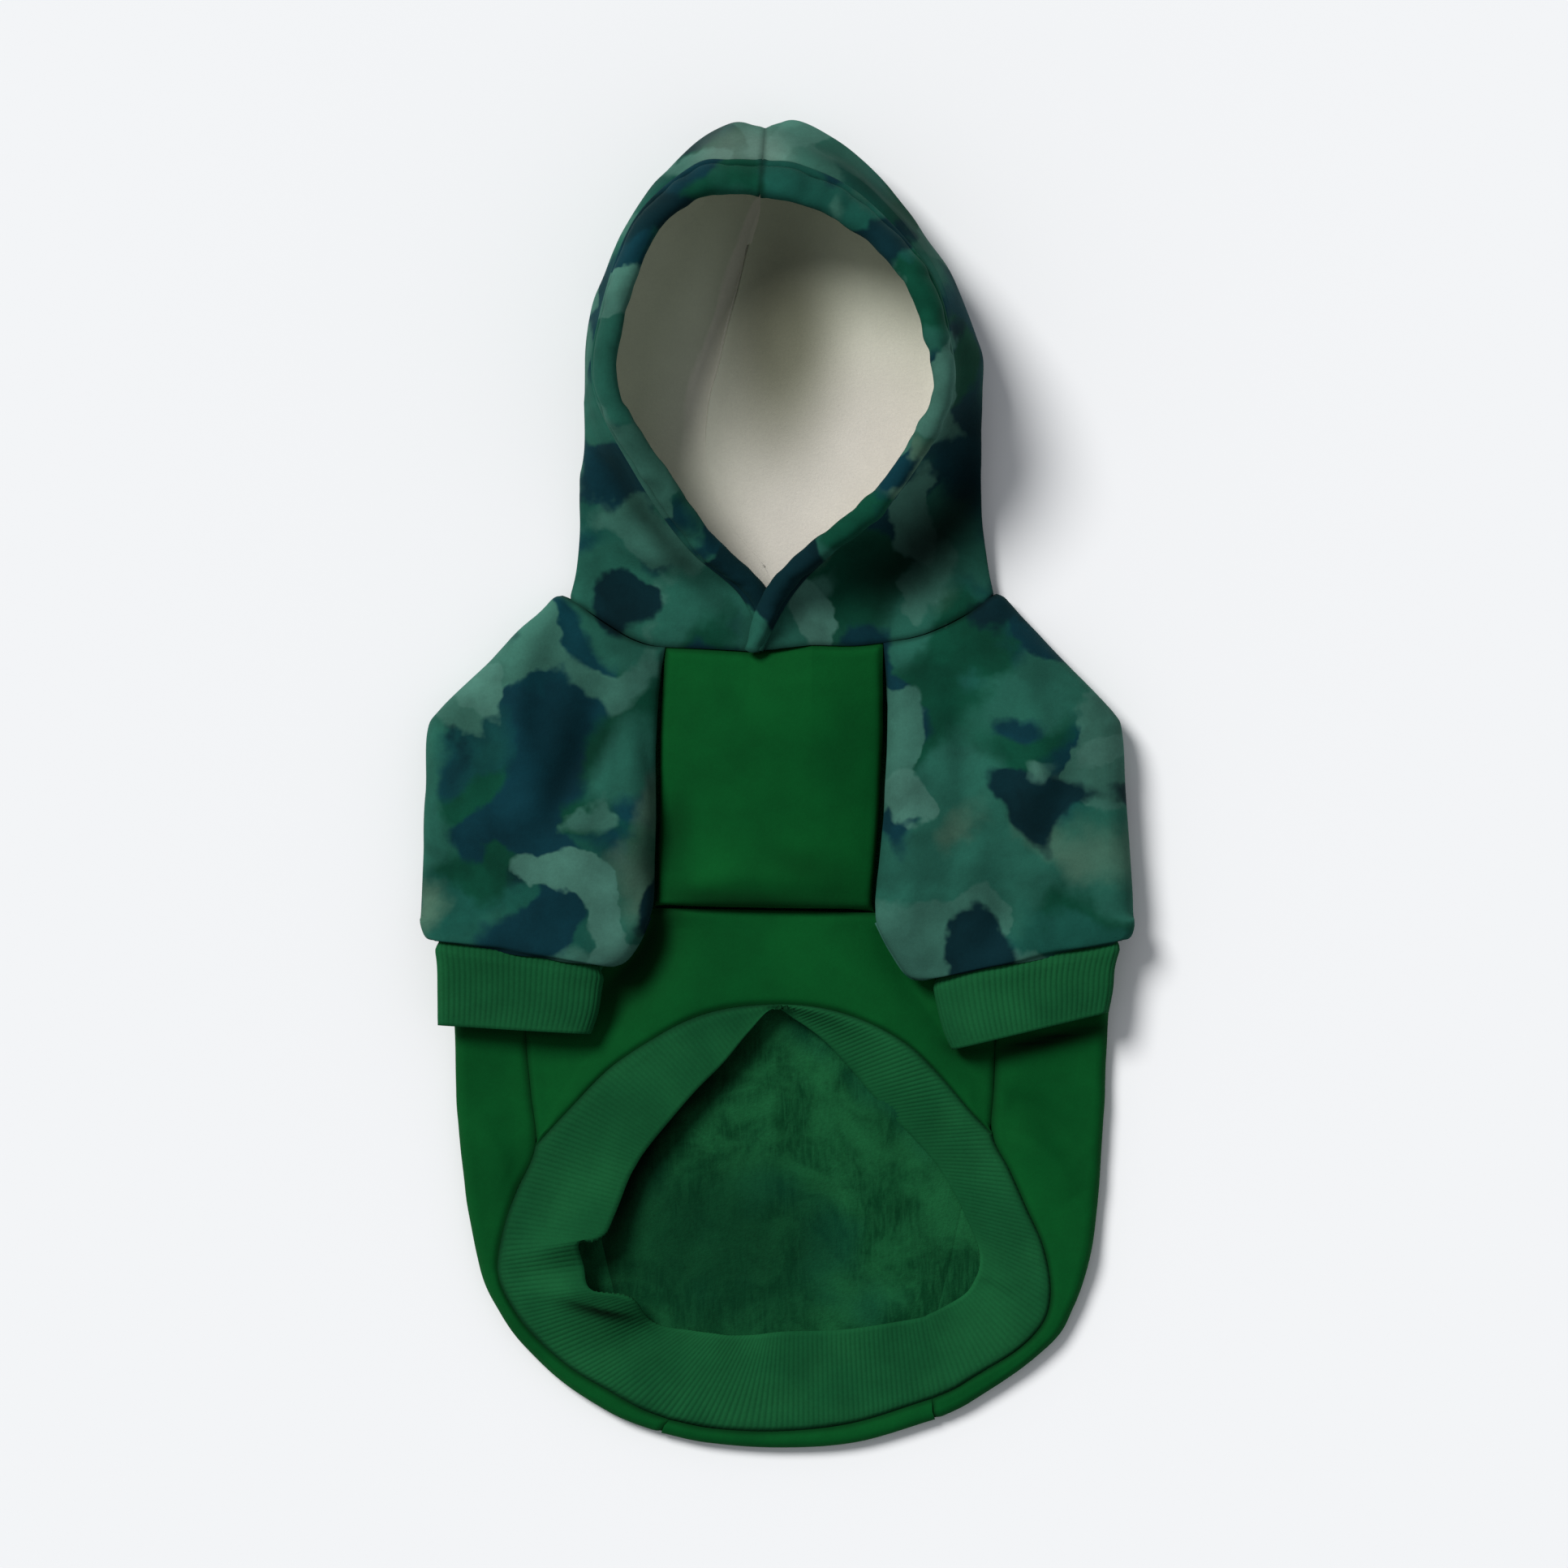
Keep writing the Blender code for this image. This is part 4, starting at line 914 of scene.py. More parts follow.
def hood():
    """Both hood halves: camo shells, linings drawn together at the floor seam, and the face hems."""
    linings = {}
    for side, table, paths, face_edge in zip(SIDES, (HOOD_LEFT, HOOD_RIGHT), NECKS, FACE_START):
        flip = side == "left"
        bar, shell = hood_half(side, table, paths, face_edge)
        facing = outward(shell, flip)
        soft = swells("hood", shell)
        rise = soft + folds(f"hood_{side}", shell)
        free, lifted = free_of_seams("hood", shell), ramp(shell[..., 2], *LIFTS["hood"])
        outer = lapped(shell + facing * (rise * free * lifted)[..., None], SHELL_LAP)
        lay(f"hood_{side}", outer, FABRIC, FINISHES["camo"], flip=flip, seams=("start", "end", "first"))
        hollow = np.minimum(0.6 * soft, rise) * free * lifted - FABRIC - LINING_GAP
        linings[side] = lapped(shell + facing * hollow[..., None], LINING_LAP)
        face_hem(side, bar, flip)
    meeting = (linings["left"][:, -1] + linings["right"][:, -1]) / 2
    meeting[:, 2] = np.maximum(linings["left"][:, -1, 2], linings["right"][:, -1, 2])
    for side, inner in linings.items():
        across = lengths(inner, 1)
        near = bell(across[:, -1:] - across, LINING_DRAW)
        past = meeting - inner[:, -12]
        lap = meeting + past * (LINING_OVERLAP / np.linalg.norm(past, axis=1, keepdims=True))
        inner = (inner + near[..., None] * (lap - inner[:, -1])[:, None])[LINING_SET_BACK:]
        across = across[LINING_SET_BACK:]
        # Painted highlight: the left lining is made lighter along its crown seam
        seam_painted_highlight = np.clip((SEAM_PAINTED_HIGHLIGHT_WIDTH - (across[:, -1:] - across)) / 0.0015, 0, 1) * (side == "left")
        seam_painted_highlight = seam_painted_highlight * ramp(inner[..., 1], 0.150, 0.045)
        inner, seam_painted_highlight = inner[:, -1::-2][:, ::-1], seam_painted_highlight[:, -1::-2][:, ::-1]
        lay(f"hood_lining_{side}", inner, LINING, FINISHES["lining"], flip=side == "left",
            round_edge=LINING_ROUND, extra={"seam_painted_highlight": seam_painted_highlight})


def sleeve_section(inner, outer, low, high, seam_height, under, puff):
    """Section of a sleeve from its inner edge over the top, round its outer edge and back below. It ends at
    the back seam under, or where that is None at the inner edge, as a closed tube."""
    across = inward_of(inner, outer)
    rise = np.array((0, 0, 1.0))
    run = np.linalg.norm((outer - inner)[:2])
    bulge = (high - low) * 0.46
    far = outer - across * bulge
    foot = far + rise * low
    turn = [foot + across * bulge * math.cos(t) + rise * bulge * (1 + math.sin(t)) for t in HALF_TURN]
    turn = np.array(turn)
    half = len(HALF_TURN) // 2
    over_edge, under_edge = (turn[: half + 1], 2), (turn[half:], 2)
    if under is not None:
        start = inner + rise * seam_height
        lift = rise * (high - seam_height) * (1.25 + 1.3 * puff) - across * 0.004 * puff
        level = rise * (high - low) * 0.1
        ahead = start + across * run * 0.15 * (1 - puff) + lift
        top = bezier(start, ahead, turn[0] - across * run * 0.35 + level, turn[0])
        return joined((top, TOP_COLUMNS), over_edge, under_edge, (np.array((foot, under)), TOP_COLUMNS))
    tuck = seam_height - low
    near = inner + across * tuck + rise * low
    close = [near - across * tuck * math.cos(t) + rise * tuck * (1 + math.sin(t)) for t in HALF_TURN[::-1]]
    close = np.array(close)
    swell = rise * (high - low) * 0.12
    crown = rise * (high - low) * (0.7 + 0.9 * puff)
    before = turn[0] - across * run * (0.35 + 0.2 * puff) + swell * (1 + puff)
    top = bezier(close[half], close[half] + crown, before, turn[0])
    below = np.array((foot, near))
    return joined((top, TOP_COLUMNS), over_edge, under_edge, (below, TOP_COLUMNS - 2), (close[: half + 1], 2))


def tube_section(inner, outer, high, puff):
    """Closed section of a sleeve or cuff, lying on the side of the trunk."""
    middle = LOW_TUBE + (high - LOW_TUBE) * INNER_SEAM_SHARE
    return sleeve_section(inner, outer, LOW_TUBE, high, middle, None, puff)


def sleeve_points(table, paths, side):
    """Grid of a sleeve, open to the trunk above the underarm and a closed tube below it."""
    _, top, turn, below, _ = paths
    over_edge, under_edge = (turn[: HALF_ARC + 1], 2), (turn[HALF_ARC:], 2)
    sections = [joined((top, TOP_COLUMNS), over_edge, under_edge, (below, TOP_COLUMNS))]
    for row, ((ix, iy, ox, oy), (ux, uy, tall)) in enumerate(zip(table, SLEEVE_BACK)):
        inner, outer, back_seam = sleeve_point(ix, iy), sleeve_point(ox, oy), sleeve_point(side * ux, uy)
        puff = np.interp(row, PUFF_SECTIONS, PUFFS)
        high = SLEEVE_HEIGHT * tall
        if ux:
            sections.append(sleeve_section(inner, outer, 0.0, high, 1.2 * EDGE_HEIGHT, back_seam, puff))
        else:
            sections.append(tube_section(inner, outer, high, puff))
    grid = np.array(sections)
    picks = np.concatenate((
        np.linspace(0, OPEN_END, OPEN_ROWS),
        np.linspace(OPEN_END, TUBE_START, ARMPIT_ROWS + 1)[1:],
        np.linspace(TUBE_START, TUBE_END, TUBE_ROWS + 1)[1:],
    ))
    whole = between(grid, picks)
    opened, tube = picks <= OPEN_END, picks >= TUBE_START
    whole[opened, OUTERMOST:] = between(grid[:TUBE_START, OUTERMOST:], picks[opened])
    whole[tube, OUTERMOST:] = between(grid[TUBE_START:, OUTERMOST:], picks[tube] - TUBE_START)
    top = whole[:, : OUTERMOST + 1]
    from_armpit = np.abs(np.arange(len(picks)) - (OPEN_ROWS + ARMPIT_ROWS // 2))
    reach = np.clip(1 - from_armpit / 14, 0, 1)[:, None, None] ** 0.5
    reach = reach * np.clip(np.arange(OUTERMOST, -1, -1) / 12, 0, 1)[None, :, None]
    for _ in range(12):
        soft = top.copy()
        soft[1:-1] = (top[:-2] + 2 * top[1:-1] + top[2:]) / 4
        top += (soft - top) * reach
    return whole


def sleeve(side, whole, flip):
    """Camo sleeve: peaked at the shoulder, with its folds, and gathered where the cuff is sewn on."""
    away = np.linalg.norm((whole - whole[0, OUTERMOST])[..., :2], axis=2)
    whole = whole + bell(away, PEAK_WIDTH)[..., None] * np.array(PEAKS[side])
    facing = outward(whole, flip)
    rise = swells("sleeve", whole) + folds(f"sleeve_{side}", whole)
    free = free_of_seams("sleeve", whole, ("start", "end", "first"))
    top = ramp(whole[..., 2], *LIFTS["sleeve"]) * np.clip(1.3 * facing[..., 2], 0, 1)
    end = lengths(whole, 0)
    gathers = (end[-1:] - end) / GATHER_REACH
    waves = np.sin(lengths(whole, 1) / GATHER_PITCH + 2 * ripple(whole, 0.02))
    rise = rise * free + GATHER * np.exp(-gathers) * waves
    rise = rise - CUFF_SINK * np.exp(-((gathers * 4.2) ** 2))
    whole = whole + facing * (rise * top)[..., None]
    last_open = OPEN_ROWS - 1
    lay(f"sleeve_{side}", whole, FABRIC, FINISHES["camo"], flip=flip, closed=True,
        cut=(last_open, last_open + ARMPIT_ROWS, OUTERMOST + 5, whole.shape[1] - 1),
        seams=("start", "end", "first"), dip=SLEEVE_DIP)


def cuff(side, cuff_table, flip):
    """Rib cuff with its wales running from the sleeve to its turned edge."""
    rings = []
    for ix, iy, ox, oy, tall in cuff_table:
        rings.append(tube_section(cuff_point(ix, iy), cuff_point(ox, oy), SLEEVE_HEIGHT * tall, CUFF_PUFF))
    rings = spread(rings, CUFF_ROWS)
    under_sleeve = rings[:1] + (rings[:1] - rings[1:2]) * CUFF_OVERLAP
    rings = np.concatenate((under_sleeve, rings))
    wales = round(lengths(rings, 1)[:, -1].mean() / WALE_PITCH)
    rings = np.array([along(ring, wales * WALE_COLUMNS + 1) for ring in rings])
    rib_up(f"cuff_{side}", rings, wales, flip, tuck=CUFF_TUCK)


def rib_up(name, rings, wales, flip, tuck=0.0):
    """Raises the wales of a rib knit over a closed grid, and lays it."""
    turn = np.linspace(0, 2 * math.pi * wales, rings.shape[1])
    wale = np.abs(np.cos(turn / 2)) ** 0.8
    facing = outward(rings, flip)
    down = lengths(rings, 0)
    grip = ramp(down, 0.0, SEAM_FADE) * np.clip((down[-1:] - down) / EDGE_FADE, 0.15, 1)
    step = np.gradient(rings, axis=0)
    step = step / np.maximum(np.linalg.norm(step, axis=2, keepdims=True), 1e-9)
    apart = np.linalg.norm(np.cross(np.gradient(rings, axis=1), step), axis=2) / (WALE_PITCH / WALE_COLUMNS)
    room = np.clip(apart * 1.3 - 0.3, 0, 1)
    uneven = (1 + 0.25 * ripple(rings, 0.02, 3.0)) * room
    rise = WALE_DEPTH * (wale[None] - WALE_LEVEL) * grip * uneven + RIB_SWELL * ripple(rings, 0.022, 9.0)
    rise = rise - tuck * np.exp(-((down / TUCK_REACH) ** 4))
    rings = rings + facing * rise[..., None]
    rings[:, -1] = rings[:, 0]
    lay(name, rings, RIB, FINISHES["rib"], flip=flip, closed=True, seams=("start",), dip=RIB_DIP,
        round_edge=0.0, extra={"groove": (1 - wale[None]) * room})


def side_points(table):
    """Grid of a side of the trunk, from its top seam round the folded edge to its back seam."""
    sections = []
    for tx, ty, ox, oy, bx, by, tall in table:
        radius = EDGE_HEIGHT * tall / 2
        edge, under = trunk_point(ox, oy), trunk_point(bx, by)
        seam = trunk_point(tx, ty, 2 * radius)
        turn = arc(edge, inward_of(edge, under), radius)
        over = along(np.array((seam, turn[0])), 26)
        sections.append(np.vstack((over, along(turn, 22)[1:], along(np.array((turn[-1], under)), 20)[1:])))
    upper = np.linspace(0, BAND_START, CORNER_ROWS)
    lower = np.linspace(BAND_START, len(table) - 1, LOWER_ROWS + 1)[1:]
    return between(sections, np.concatenate((upper, lower)))


def side_panel(side, points, flip):
    facing = outward(points, flip)
    rise = swells("side", points) + folds(f"side_panel_{side}", points)
    free, top = free_of_seams("side", points), ramp(points[..., 2], *LIFTS["side"])
    points = points + facing * (rise * free * top)[..., None]
    lay(f"side_panel_{side}", points, FABRIC, FINISHES["green"], flip=flip, seams=("first", "start", "end"),
        inside=FINISHES["brushed"])


def trunk_top(x, spread_share=1.0):
    """Height of the belly's outer skin across the trunk."""
    swell = np.maximum(0.0, 1 - (x / (BELLY_REACH * SHOULDER_SPAN * spread_share)) ** 2)
    return EDGE_HEIGHT + BELLY_RISE * swell


def panel_between(top, bottom, left, right, rows):
    """Grid that fills the space between four sides, each a path."""
    part = np.linspace(0, 1, rows)[:, None, None]
    share = np.linspace(0, 1, len(top))[None, :, None]
    filled = top[None] * (1 - part) + bottom[None] * part
    pull_left = (left - filled[:, 0])[:, None]
    pull_right = (right - filled[:, -1])[:, None]
    return filled + pull_left * (1 - share) + pull_right * share


def chest_panel(neck, waist, sleeves):
    rows, columns = CHEST_GRID
    left = along(np.vstack((sleeves[0][:OPEN_ROWS, 0], waist[:1])), rows)
    right = along(np.vstack((sleeves[1][:OPEN_ROWS, 0], waist[-1:])), rows)
    top, bottom = along(neck, columns), along(waist, columns)
    bottom[:, 2] = np.maximum(bottom[:, 2], 1.1 * EDGE_HEIGHT)
    points = panel_between(top, bottom, left, right, rows)
    down = np.linspace(0, 1, rows)
    part = down[:, None]
    points[..., 2] += (top[None, :, 2] - bottom[None, :, 2]) * ((1 - part) ** 4 - (1 - part))
    swell = np.interp(np.linspace(0, len(CHEST_SWELL), rows), range(len(CHEST_SWELL) + 1), (0, *CHEST_SWELL))
    swell = swell * np.sqrt(1 - ramp(down, 0.87, 0.13) ** 2)
    across = np.sin(np.linspace(0, math.pi, columns)) ** 0.7
    points[..., 2] += EDGE_HEIGHT * swell[:, None] * across[None]
    rise = swells("chest", points) + folds("chest_panel", points)
    points[..., 2] += rise * free_of_seams("chest", points)
    lay("chest_panel", points, FABRIC, FINISHES["green"], flip=True, seams=ALL_SIDES, dip=CHEST_DIP,
        dip_width=CHEST_DIP_WIDTH, inside=FINISHES["brushed"])


def belly_panel(top_line, arch, sides):
    rows, columns = BELLY_GRID
    left, right = along(sides[0][:CORNER_ROWS, 0], rows), along(sides[1][:CORNER_ROWS, 0], rows)
    upper, lower = along(top_line, columns), along(arch, columns)
    points = panel_between(upper, lower, left, right, rows)
    part = np.linspace(0, 1, rows)[:, None]
    height = trunk_top(points[..., 0], 1.0 + 1.2 * part**4)
    points[..., 2] = height * (1 - part**6) + lower[None, :, 2] * part**6
    edge = np.clip(np.minimum(np.arange(columns), np.arange(columns)[::-1]) / 8, 0, 1)[None]
    points[..., 2] = EDGE_HEIGHT + (points[..., 2] - EDGE_HEIGHT) * np.where(part < 0.97, edge, 1)
    rise = swells("belly", points) + folds("belly_panel", points)
    points[..., 2] += rise * free_of_seams("belly", points)
    lay("belly_panel", points, FABRIC, FINISHES["green"], flip=True, seams=ALL_SIDES, dip=BELLY_DIP,
        inside=FINISHES["brushed"])


def back_panel(sleeves, sides):
    """The back on the floor, turned up along its lower edge where the rib is sewn on."""
    left = np.vstack((sleeves[0][:OPEN_ROWS, -1], sides[0][:, -1]))
    right = np.vstack((sleeves[1][:OPEN_ROWS, -1], sides[1][:, -1]))
    share = np.linspace(0, 1, BACK_COLUMNS)[None, :, None]
    flat = left[:-1, None] * (1 - share) + right[:-1, None] * share
    turns = []
    for tx, ty, ox, oy, ux, uy in spread(HEM_STRIP, BACK_COLUMNS):
        radius = EDGE_HEIGHT * SIDE_LEFT[-1][6] / 2
        edge, under, seam = trunk_point(ox, oy), trunk_point(ux, uy), trunk_point(tx, ty, radius * 2)
        turn = arc(edge, inward_of(edge, under), radius)[::-1]
        turns.append(np.vstack((under[None], along(turn, 14), along(np.array((turn[-1], seam)), 6)[1:])))
    points = np.concatenate((flat, np.array(turns).transpose(1, 0, 2)))
    soft = swells("back", points, 1.0) * free_of_seams("back", points)
    points[..., 2] += np.where(points[..., 2] < 0.001, soft, 0)
    lay("back_panel", points, FABRIC, FINISHES["green"], seams=("end",), inside=FINISHES["brushed"])


def hem_band():
    """Rib band round the hem opening, its wales running from the seam to its free edge."""
    tables = [[(*row[:2], row[6]) for row in table] for table in (SIDE_LEFT, SIDE_RIGHT)]
    left, right = [sewn_line(trunk_point, table) for table in tables]
    strip = np.array([trunk_point(*row[:2], EDGE_HEIGHT * SIDE_LEFT[-1][6]) for row in HEM_STRIP])
    arch, edge = sewn_line(trunk_point, ARCH), sewn_line(trunk_point, BAND_EDGE)
    turns = len(edge)

    def both(picks):
        """Points of the seam and of the free edge at the picked places round the band."""
        parts = (
            (left, BAND_START + picks, 0, SIDE_END),
            (strip, picks - SIDE_END, SIDE_END, STRIP_END),
            (right, BAND_START + OTHER_SIDE_END - picks, STRIP_END, OTHER_SIDE_END),
            (arch, turns - picks, OTHER_SIDE_END, turns + 1),
        )
        seam = np.zeros((len(picks), 3))
        for line, places, first, last in parts:
            here = (picks >= first) & (picks < last)
            seam[here] = between(line, places[here])
        wrapped = np.concatenate((edge[-3:], edge, edge[:4]))
        return seam, between(wrapped, picks + 3)

    picks = np.linspace(0, turns, 4001)
    seam, free = both(picks)
    middle = (seam + free) / 2
    travel = np.concatenate(([0.0], np.cumsum(np.linalg.norm(np.diff(middle, axis=0), axis=1))))
    wales = round(travel[-1] * BAND_STRETCH / WALE_PITCH)
    even = np.interp(np.linspace(0, travel[-1], wales * WALE_COLUMNS + 1), travel, picks)
    seam, free = both(even)
    seam, free = seam[:-1], free[:-1]
    heights = np.concatenate((seam[-20:, 2], seam[:, 2], seam[:20, 2]))
    seam[:, 2] = np.convolve(heights, np.ones(41) / 41, "valid")
    level = (free - seam) * np.array((0.4, 0.4, 0))
    columns = [along(bezier(a, a + run, b - run, b, 24), BAND_ROWS) for a, b, run in zip(seam, free, level)]
    rings = np.array(columns + columns[:1]).transpose(1, 0, 2)
    facing = outward(rings, False)
    grip = ramp(lengths(rings, 0), 0.0, FREE["band"])
    rings = rings + facing * (folds("hem_band", rings) * grip)[..., None]
    rib_up("hem_band", rings, wales, False)


def linear(red, green, blue):
    """Colour given in 0 to 255 steps, as light."""
    parts = [value / 255 for value in (red, green, blue)]
    return (*[p / 12.92 if p <= 0.04045 else ((p + 0.055) / 1.055) ** 2.4 for p in parts], 1.0)


def node(tree, kind, inputs=None, **settings):
    """A shader node with its settings, and its inputs given as values or as other nodes' sockets."""
    made = tree.nodes.new(kind)
    for key, value in settings.items():
        setattr(made, key, value)
    for socket, source in (inputs or {}).items():
        if isinstance(source, bpy.types.NodeSocket):
            tree.links.new(source, made.inputs[socket])
        else:
            made.inputs[socket].default_value = source
    return made


def noise(tree, vector, scale, detail, rough=0.5, skew=0.0):
    inputs = {"Vector": vector, "Scale": scale, "Detail": detail, "Roughness": rough, "Distortion": skew}
    return node(tree, "ShaderNodeTexNoise", inputs)


def sums(tree, operation, first, second):
    return node(tree, "ShaderNodeMath", {0: first, 1: second}, operation=operation).outputs[0]


def vectors(tree, operation, first, second):
    return node(tree, "ShaderNodeVectorMath", {0: first, 1: second}, operation=operation).outputs[0]


def mixed(tree, amount, first, second, mode="MIX"):
    inputs = {0: amount, 6: first, 7: second}
    return node(tree, "ShaderNodeMix", inputs, data_type="RGBA", blend_type=mode).outputs[2]


def mask(tree, value, low, high, to_low=0.0, to_high=1.0):
    inputs = {0: value, 1: low, 2: high, 3: to_low, 4: to_high}
    return node(tree, "ShaderNodeMapRange", inputs, interpolation_type="SMOOTHSTEP").outputs[0]


def grey(tree, value):
    return node(tree, "ShaderNodeCombineColor", {0: value, 1: value, 2: value}).outputs[0]


def attribute(tree, name):
    return node(tree, "ShaderNodeAttribute", attribute_name=name).outputs["Fac"]


def spot(tree, place, centre, squeeze, near, far, at_near, at_far):
    """A round soft mask about a point, squeezed along x and y."""
    away = vectors(tree, "MULTIPLY", vectors(tree, "SUBTRACT", place, (*centre, 0.0)), (*squeeze, 0.0))
    reach = node(tree, "ShaderNodeVectorMath", {0: away}, operation="LENGTH").outputs["Value"]
    return mask(tree, reach, near, far, at_near, at_far)


def group(name, inputs, outputs):
    """A shader node group with named sockets, and its inner ends."""
    tree = bpy.data.node_groups.new(name, "ShaderNodeTree")
    for socket, kind in inputs:
        tree.interface.new_socket(socket, in_out="INPUT", socket_type=f"NodeSocket{kind}")
    for socket, kind in outputs:
        tree.interface.new_socket(socket, in_out="OUTPUT", socket_type=f"NodeSocket{kind}")
    return tree, tree.nodes.new("NodeGroupInput").outputs, tree.nodes.new("NodeGroupOutput").inputs


def camo_print():
    """Soft blotches in greens and greys laid over each other, with ragged and washed edges."""
    tree, given, out = group("camo_print", [("Vector", "Vector")], [("Color", "Color"), ("Cloud", "Float")])
    place = vectors(tree, "MULTIPLY", given["Vector"], (1.0, 1.0, 0.55))
    pushes = []
    for scale, detail, push in CAMO_EDGES:
        wander = vectors(tree, "SUBTRACT", noise(tree, place, scale, detail).outputs[1], (0.5, 0.5, 0.5))
        pushes.append((wander, (push, push, push)))
    for wander, push in pushes:
        place = vectors(tree, "ADD", place, vectors(tree, "MULTIPLY", wander, push))
    colour = linear(*CAMO_BASE)
    for shade, scale, level, width, number in CAMO_LAYERS:
        layer = vectors(tree, "ADD", place, (0.31 * number + 0.4, 0.57 * number, 0.23 * number))
        patch = mask(tree, noise(tree, layer, scale, 0.6).outputs[0], level - width, level + width)
        colour = mixed(tree, patch, colour, linear(*shade))
    wash = noise(tree, place, 26.0, 3.0, 0.55).outputs[0]
    cloud = mask(tree, wash, 0.3, 0.7, *CAMO_WASH)
    tree.links.new(mixed(tree, 1.0, colour, grey(tree, cloud), "MULTIPLY"), out["Color"])
    tree.links.new(cloud, out["Cloud"])


def cloth_face():
    """Fine brushed grain of knit cloth: a height and a tone that vary over the surface."""
    inputs = [("Vector", "Vector"), ("Grain", "Float"), ("Seam", "Float"), ("Wear", "Float")]
    tree, given, out = group("cloth_face", inputs, [("Height", "Float"), ("Tone", "Color")])
    fine, knots, worn = [noise(tree, given["Vector"], *grain).outputs[0] for grain in GRAINS]
    height = sums(tree, "ADD", sums(tree, "MULTIPLY", fine, 0.6), sums(tree, "MULTIPLY", knots, 0.8))
    wear = mask(tree, worn, 0.25, 0.75, *WEAR_TONES)
    tone = sums(tree, "ADD", sums(tree, "MULTIPLY", wear, given["Wear"]), 1.0)
    tone = sums(tree, "ADD", tone, sums(tree, "MULTIPLY", sums(tree, "SUBTRACT", knots, 0.5), given["Grain"]))
    # The tone is darkened by seams and by painted shade
    tone = sums(tree, "MULTIPLY", tone, sums(tree, "SUBTRACT", 1.0, given["Seam"]))
    tree.links.new(height, out["Height"])
    tree.links.new(grey(tree, tone), out["Tone"])


def printed(tree, place, shift):
    """Colour of the camo print, moved so that each finish has its own stretch of it."""
    made = node(tree, "ShaderNodeGroup", node_tree=bpy.data.node_groups["camo_print"])
    tree.links.new(vectors(tree, "ADD", place, shift), made.inputs["Vector"])
    return made.outputs["Color"]


def camo_colour(tree, place):
    colour = printed(tree, place, CAMO_SHIFT)
    # Painted highlight: the crown is made lighter where the lamp falls on it
    return mixed(tree, spot(tree, place, *CROWN_PAINTED_HIGHLIGHT_SPOT), colour, linear(*CROWN_PAINTED_HIGHLIGHT))


def hem_colour(tree, place):
    return printed(tree, place, HEM_SHIFT)


def green_colour(tree, place):
    drift = mask(tree, noise(tree, place, 12.0, 2.0).outputs[0], 0.35, 0.65)
    return mixed(tree, drift, linear(*GREEN_DARK), linear(*GREEN_LIGHT))


def brushed_colour(tree, place):
    """Matted fleece of the coat's inside: clumps, strokes of nap, a teal cast in places, and painted shade in
    the hem opening beside the raised band.
    """
    patches = noise(tree, place, 30.0, 4.0, 0.62, 0.6).outputs[0]
    colour = mixed(tree, mask(tree, patches, 0.36, 0.66), linear(*INSIDE_DARK), linear(*INSIDE_LIGHT))
    strokes = node(tree, "ShaderNodeMapping", {"Vector": place, "Scale": (1.0, 0.16, 1.0)})
    nap = noise(tree, strokes.outputs[0], 330.0, 3.0, 0.6, 1.2).outputs[0]
    colour = mixed(tree, mask(tree, nap, 0.35, 0.72, 0.0, 0.55), colour, linear(*INSIDE_NAP))
    teal = noise(tree, place, 17.0, 2.0).outputs[0]
    colour = mixed(tree, mask(tree, teal, 0.5, 0.7, 0.0, 0.5), colour, linear(*INSIDE_TEAL))
    # Painted shade inside the hem opening, beside the raised band
    return mixed(tree, spot(tree, place, *INSIDE_PAINTED_SHADE_SPOT), colour, linear(*INSIDE_PAINTED_SHADE))


def rib_colour(tree, place):
    groove = attribute(tree, "groove")
    drift = mask(tree, noise(tree, place, 22.0, 2.0).outputs[0], 0.35, 0.65)
    colour = mixed(tree, drift, linear(*RIB_DARK), linear(*RIB_LIGHT))
    # Painted shade in the grooves between the wales
    return mixed(tree, sums(tree, "MULTIPLY", groove, 0.20), colour, linear(*RIB_GROOVE_PAINTED_SHADE))


def lining_colour(tree, place):
    """Cream lining, with painted shade toward its edge, a painted shadow behind its fold and a painted
    highlight band along its crown seam.
    """
    drift = mask(tree, noise(tree, place, 9.0, 1.0).outputs[0], 0.3, 0.7)
    colour = mixed(tree, drift, linear(*CREAM_DARK), linear(*CREAM_LIGHT))
    # Painted shade: the lining turns darker and greener away from its brightly lit middle
    colour = mixed(tree, spot(tree, place, *LINING_PAINTED_SHADE_SPOT), colour, linear(*CREAM_PAINTED_SHADE))
    # Painted highlight band along the crown seam
    seam_painted_highlight = attribute(tree, "seam_painted_highlight")
    colour = mixed(tree, sums(tree, "MULTIPLY", seam_painted_highlight, 0.75), colour, linear(*SEAM_PAINTED_HIGHLIGHT_COLOUR))
    # Painted shadow behind the fold along the crown seam
    return mixed(tree, spot(tree, place, *LINING_PAINTED_FOLD_SHADOW_SPOT), colour, linear(*CREAM_PAINTED_FOLD_SHADOW))


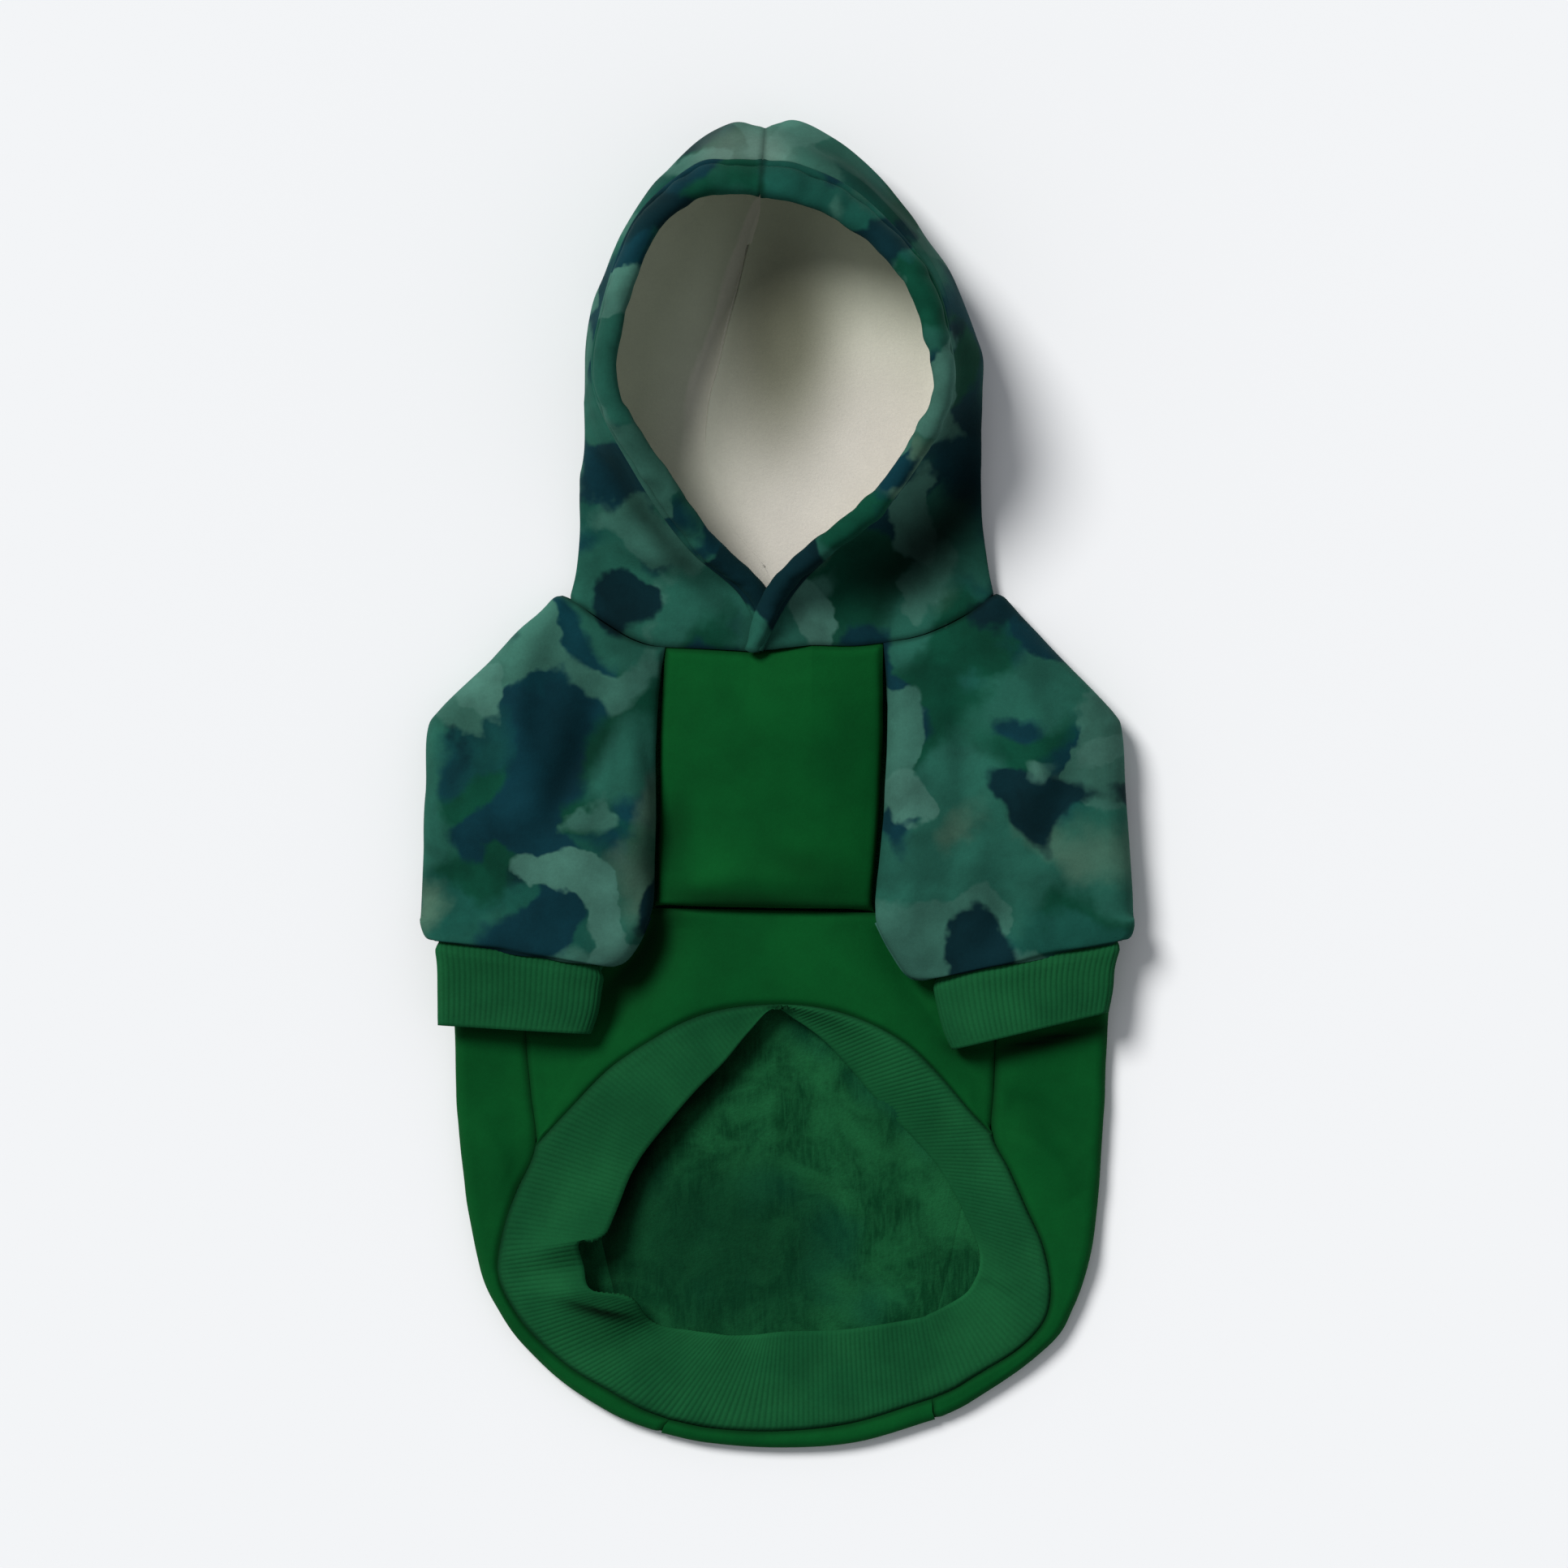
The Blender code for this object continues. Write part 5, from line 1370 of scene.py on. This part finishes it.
def finish(colour_of, name, rough, sheen, sheen_tint, grain, depth, strength, seam_tone, wear):
    """A cloth material: its colour, with grain, seams and the painted shade of cast shadows and creases in its
    tone, and grain as bump.
    """
    made = bpy.data.materials.new(name)
    made.use_nodes = True
    tree = made.node_tree
    shader = tree.nodes["Principled BSDF"]
    shader.inputs["Roughness"].default_value = rough
    shader.inputs["Specular IOR Level"].default_value = CLOTH_GLOSS
    shader.inputs["Sheen Weight"].default_value = sheen
    shader.inputs["Sheen Roughness"].default_value = 0.5
    shader.inputs["Sheen Tint"].default_value = linear(*sheen_tint)
    place = node(tree, "ShaderNodeTexCoord").outputs["Object"]
    seam = attribute(tree, "seam")
    colour = colour_of(tree, place)
    face = node(tree, "ShaderNodeGroup", node_tree=bpy.data.node_groups["cloth_face"])
    tree.links.new(place, face.inputs["Vector"])
    # Seam darkening together with the painted shade of cast shadows and creases
    dark = sums(tree, "MAXIMUM", sums(tree, "MULTIPLY", seam, seam_tone), attribute(tree, "shade"))
    tree.links.new(dark, face.inputs["Seam"])
    face.inputs["Grain"].default_value = grain
    face.inputs["Wear"].default_value = wear
    tree.links.new(mixed(tree, 1.0, colour, face.outputs["Tone"], "MULTIPLY"), shader.inputs["Base Color"])
    bumps = {"Height": face.outputs["Height"], "Distance": depth, "Strength": strength}
    tree.links.new(node(tree, "ShaderNodeBump", bumps).outputs[0], shader.inputs["Normal"])
    return made


def floor_and_light():
    """Pale floor under the coat, one soft lamp from the upper left, and a faint even sky."""
    bpy.ops.object.select_all(action="DESELECT")
    bpy.ops.mesh.primitive_plane_add(size=9.0, location=(0, 0, 0))
    floor = bpy.context.object
    floor.name = "floor"
    floor.data.transform(floor.matrix_world)
    floor.location = (0, 0, 0)
    for vert in floor.data.vertices:
        vert.co.z = min(frame_box[0][2], 0.0) - FLOOR_DROP
    paper = bpy.data.materials.new("pale_paper")
    paper.use_nodes = True
    shader = paper.node_tree.nodes["Principled BSDF"]
    shader.inputs["Base Color"].default_value = linear(*FLOOR_COLOUR)
    shader.inputs["Roughness"].default_value = 1.0
    shader.inputs["Specular IOR Level"].default_value = 0.0
    floor.data.materials.append(paper)

    bpy.ops.object.light_add(type="SUN", location=(-1.5, 1.5, 2.5))
    key = bpy.context.object
    key.name = "key_light"
    key.data.energy, key.data.angle = KEY_STRENGTH, math.radians(KEY_WIDTH)
    key.data.color = KEY_COLOUR
    key.rotation_euler = (math.radians(90 - KEY_HEIGHT), 0, math.radians(KEY_BEARING))

    world = bpy.data.worlds.new("studio")
    world.use_nodes = True
    sky = world.node_tree.nodes["Background"].inputs
    sky[0].default_value, sky[1].default_value = SKY_COLOUR, SKY_STRENGTH
    bpy.context.scene.world = world
    bpy.context.scene.view_settings.view_transform = "Standard"
    bpy.context.scene.view_settings.look = "None"


def camera_over(centre, width, height):
    """A long lens straight above the coat, as the photograph looks at it."""
    eye = bpy.data.cameras.new("camera")
    eye.sensor_width, eye.lens = 36.0, 36.0 * height / width
    eye.clip_end = 40.0
    holder = bpy.data.objects.new("camera", eye)
    bpy.context.scene.collection.objects.link(holder)
    holder.location = (*centre, height)
    bpy.context.scene.camera = holder


floor_and_light()
camera_over(VIEW_CENTRE, VIEW_WIDTH, VIEW_HEIGHT)
camo_print()
cloth_face()
COLOURS = {"camo": camo_colour, "hem": hem_colour, "green": green_colour, "brushed": brushed_colour,
           "rib": rib_colour, "lining": lining_colour}
FINISHES = {name: finish(COLOURS[name], *look) for name, look in LOOKS.items()}

NECKS = [
    neck_paths(NECK_LEFT, NECK_LEFT_SHOULDER, NECK_CORNERS[0]),
    neck_paths(NECK_RIGHT, NECK_RIGHT_SHOULDER, NECK_CORNERS[1]),
]
sleeves = [sleeve_points(SLEEVE_LEFT, NECKS[0], -1), sleeve_points(SLEEVE_RIGHT, NECKS[1], 1)]
sides = [side_points(SIDE_LEFT), side_points(SIDE_RIGHT)]
armpits = [sleeve_point(*table[ARMPIT_ROW][:2]) for table in (SLEEVE_LEFT, SLEEVE_RIGHT)]
armpits = [armpit - (0, drop, 0) for armpit, drop in zip(armpits, ARMPIT_DROPS)]
side_tops = [trunk_point(*table[0][:2]) for table in (SIDE_LEFT, SIDE_RIGHT)]
top_line = curve([side_tops[0], *armpits, side_tops[1]], WAIST_STEPS)
top_line[:, 2] = trunk_top(top_line[:, 0])
waist = top_line[WAIST_STEPS : 2 * WAIST_STEPS + 1]
neck_line = np.vstack((NECKS[0][0][::-1], (NECKS[0][0][0] + NECKS[1][0][0]) / 2, NECKS[1][0]))

back_panel(sleeves, sides)
side_panel("left", sides[0], False)
side_panel("right", sides[1], True)
belly_panel(top_line, curve(sewn_line(trunk_point, ARCH)), sides)
chest_panel(neck_line, waist, sleeves)
hem_band()
sleeve("left", sleeves[0], False)
sleeve("right", sleeves[1], True)
cuff("left", CUFF_LEFT, False)
cuff("right", CUFF_RIGHT, True)
hood()
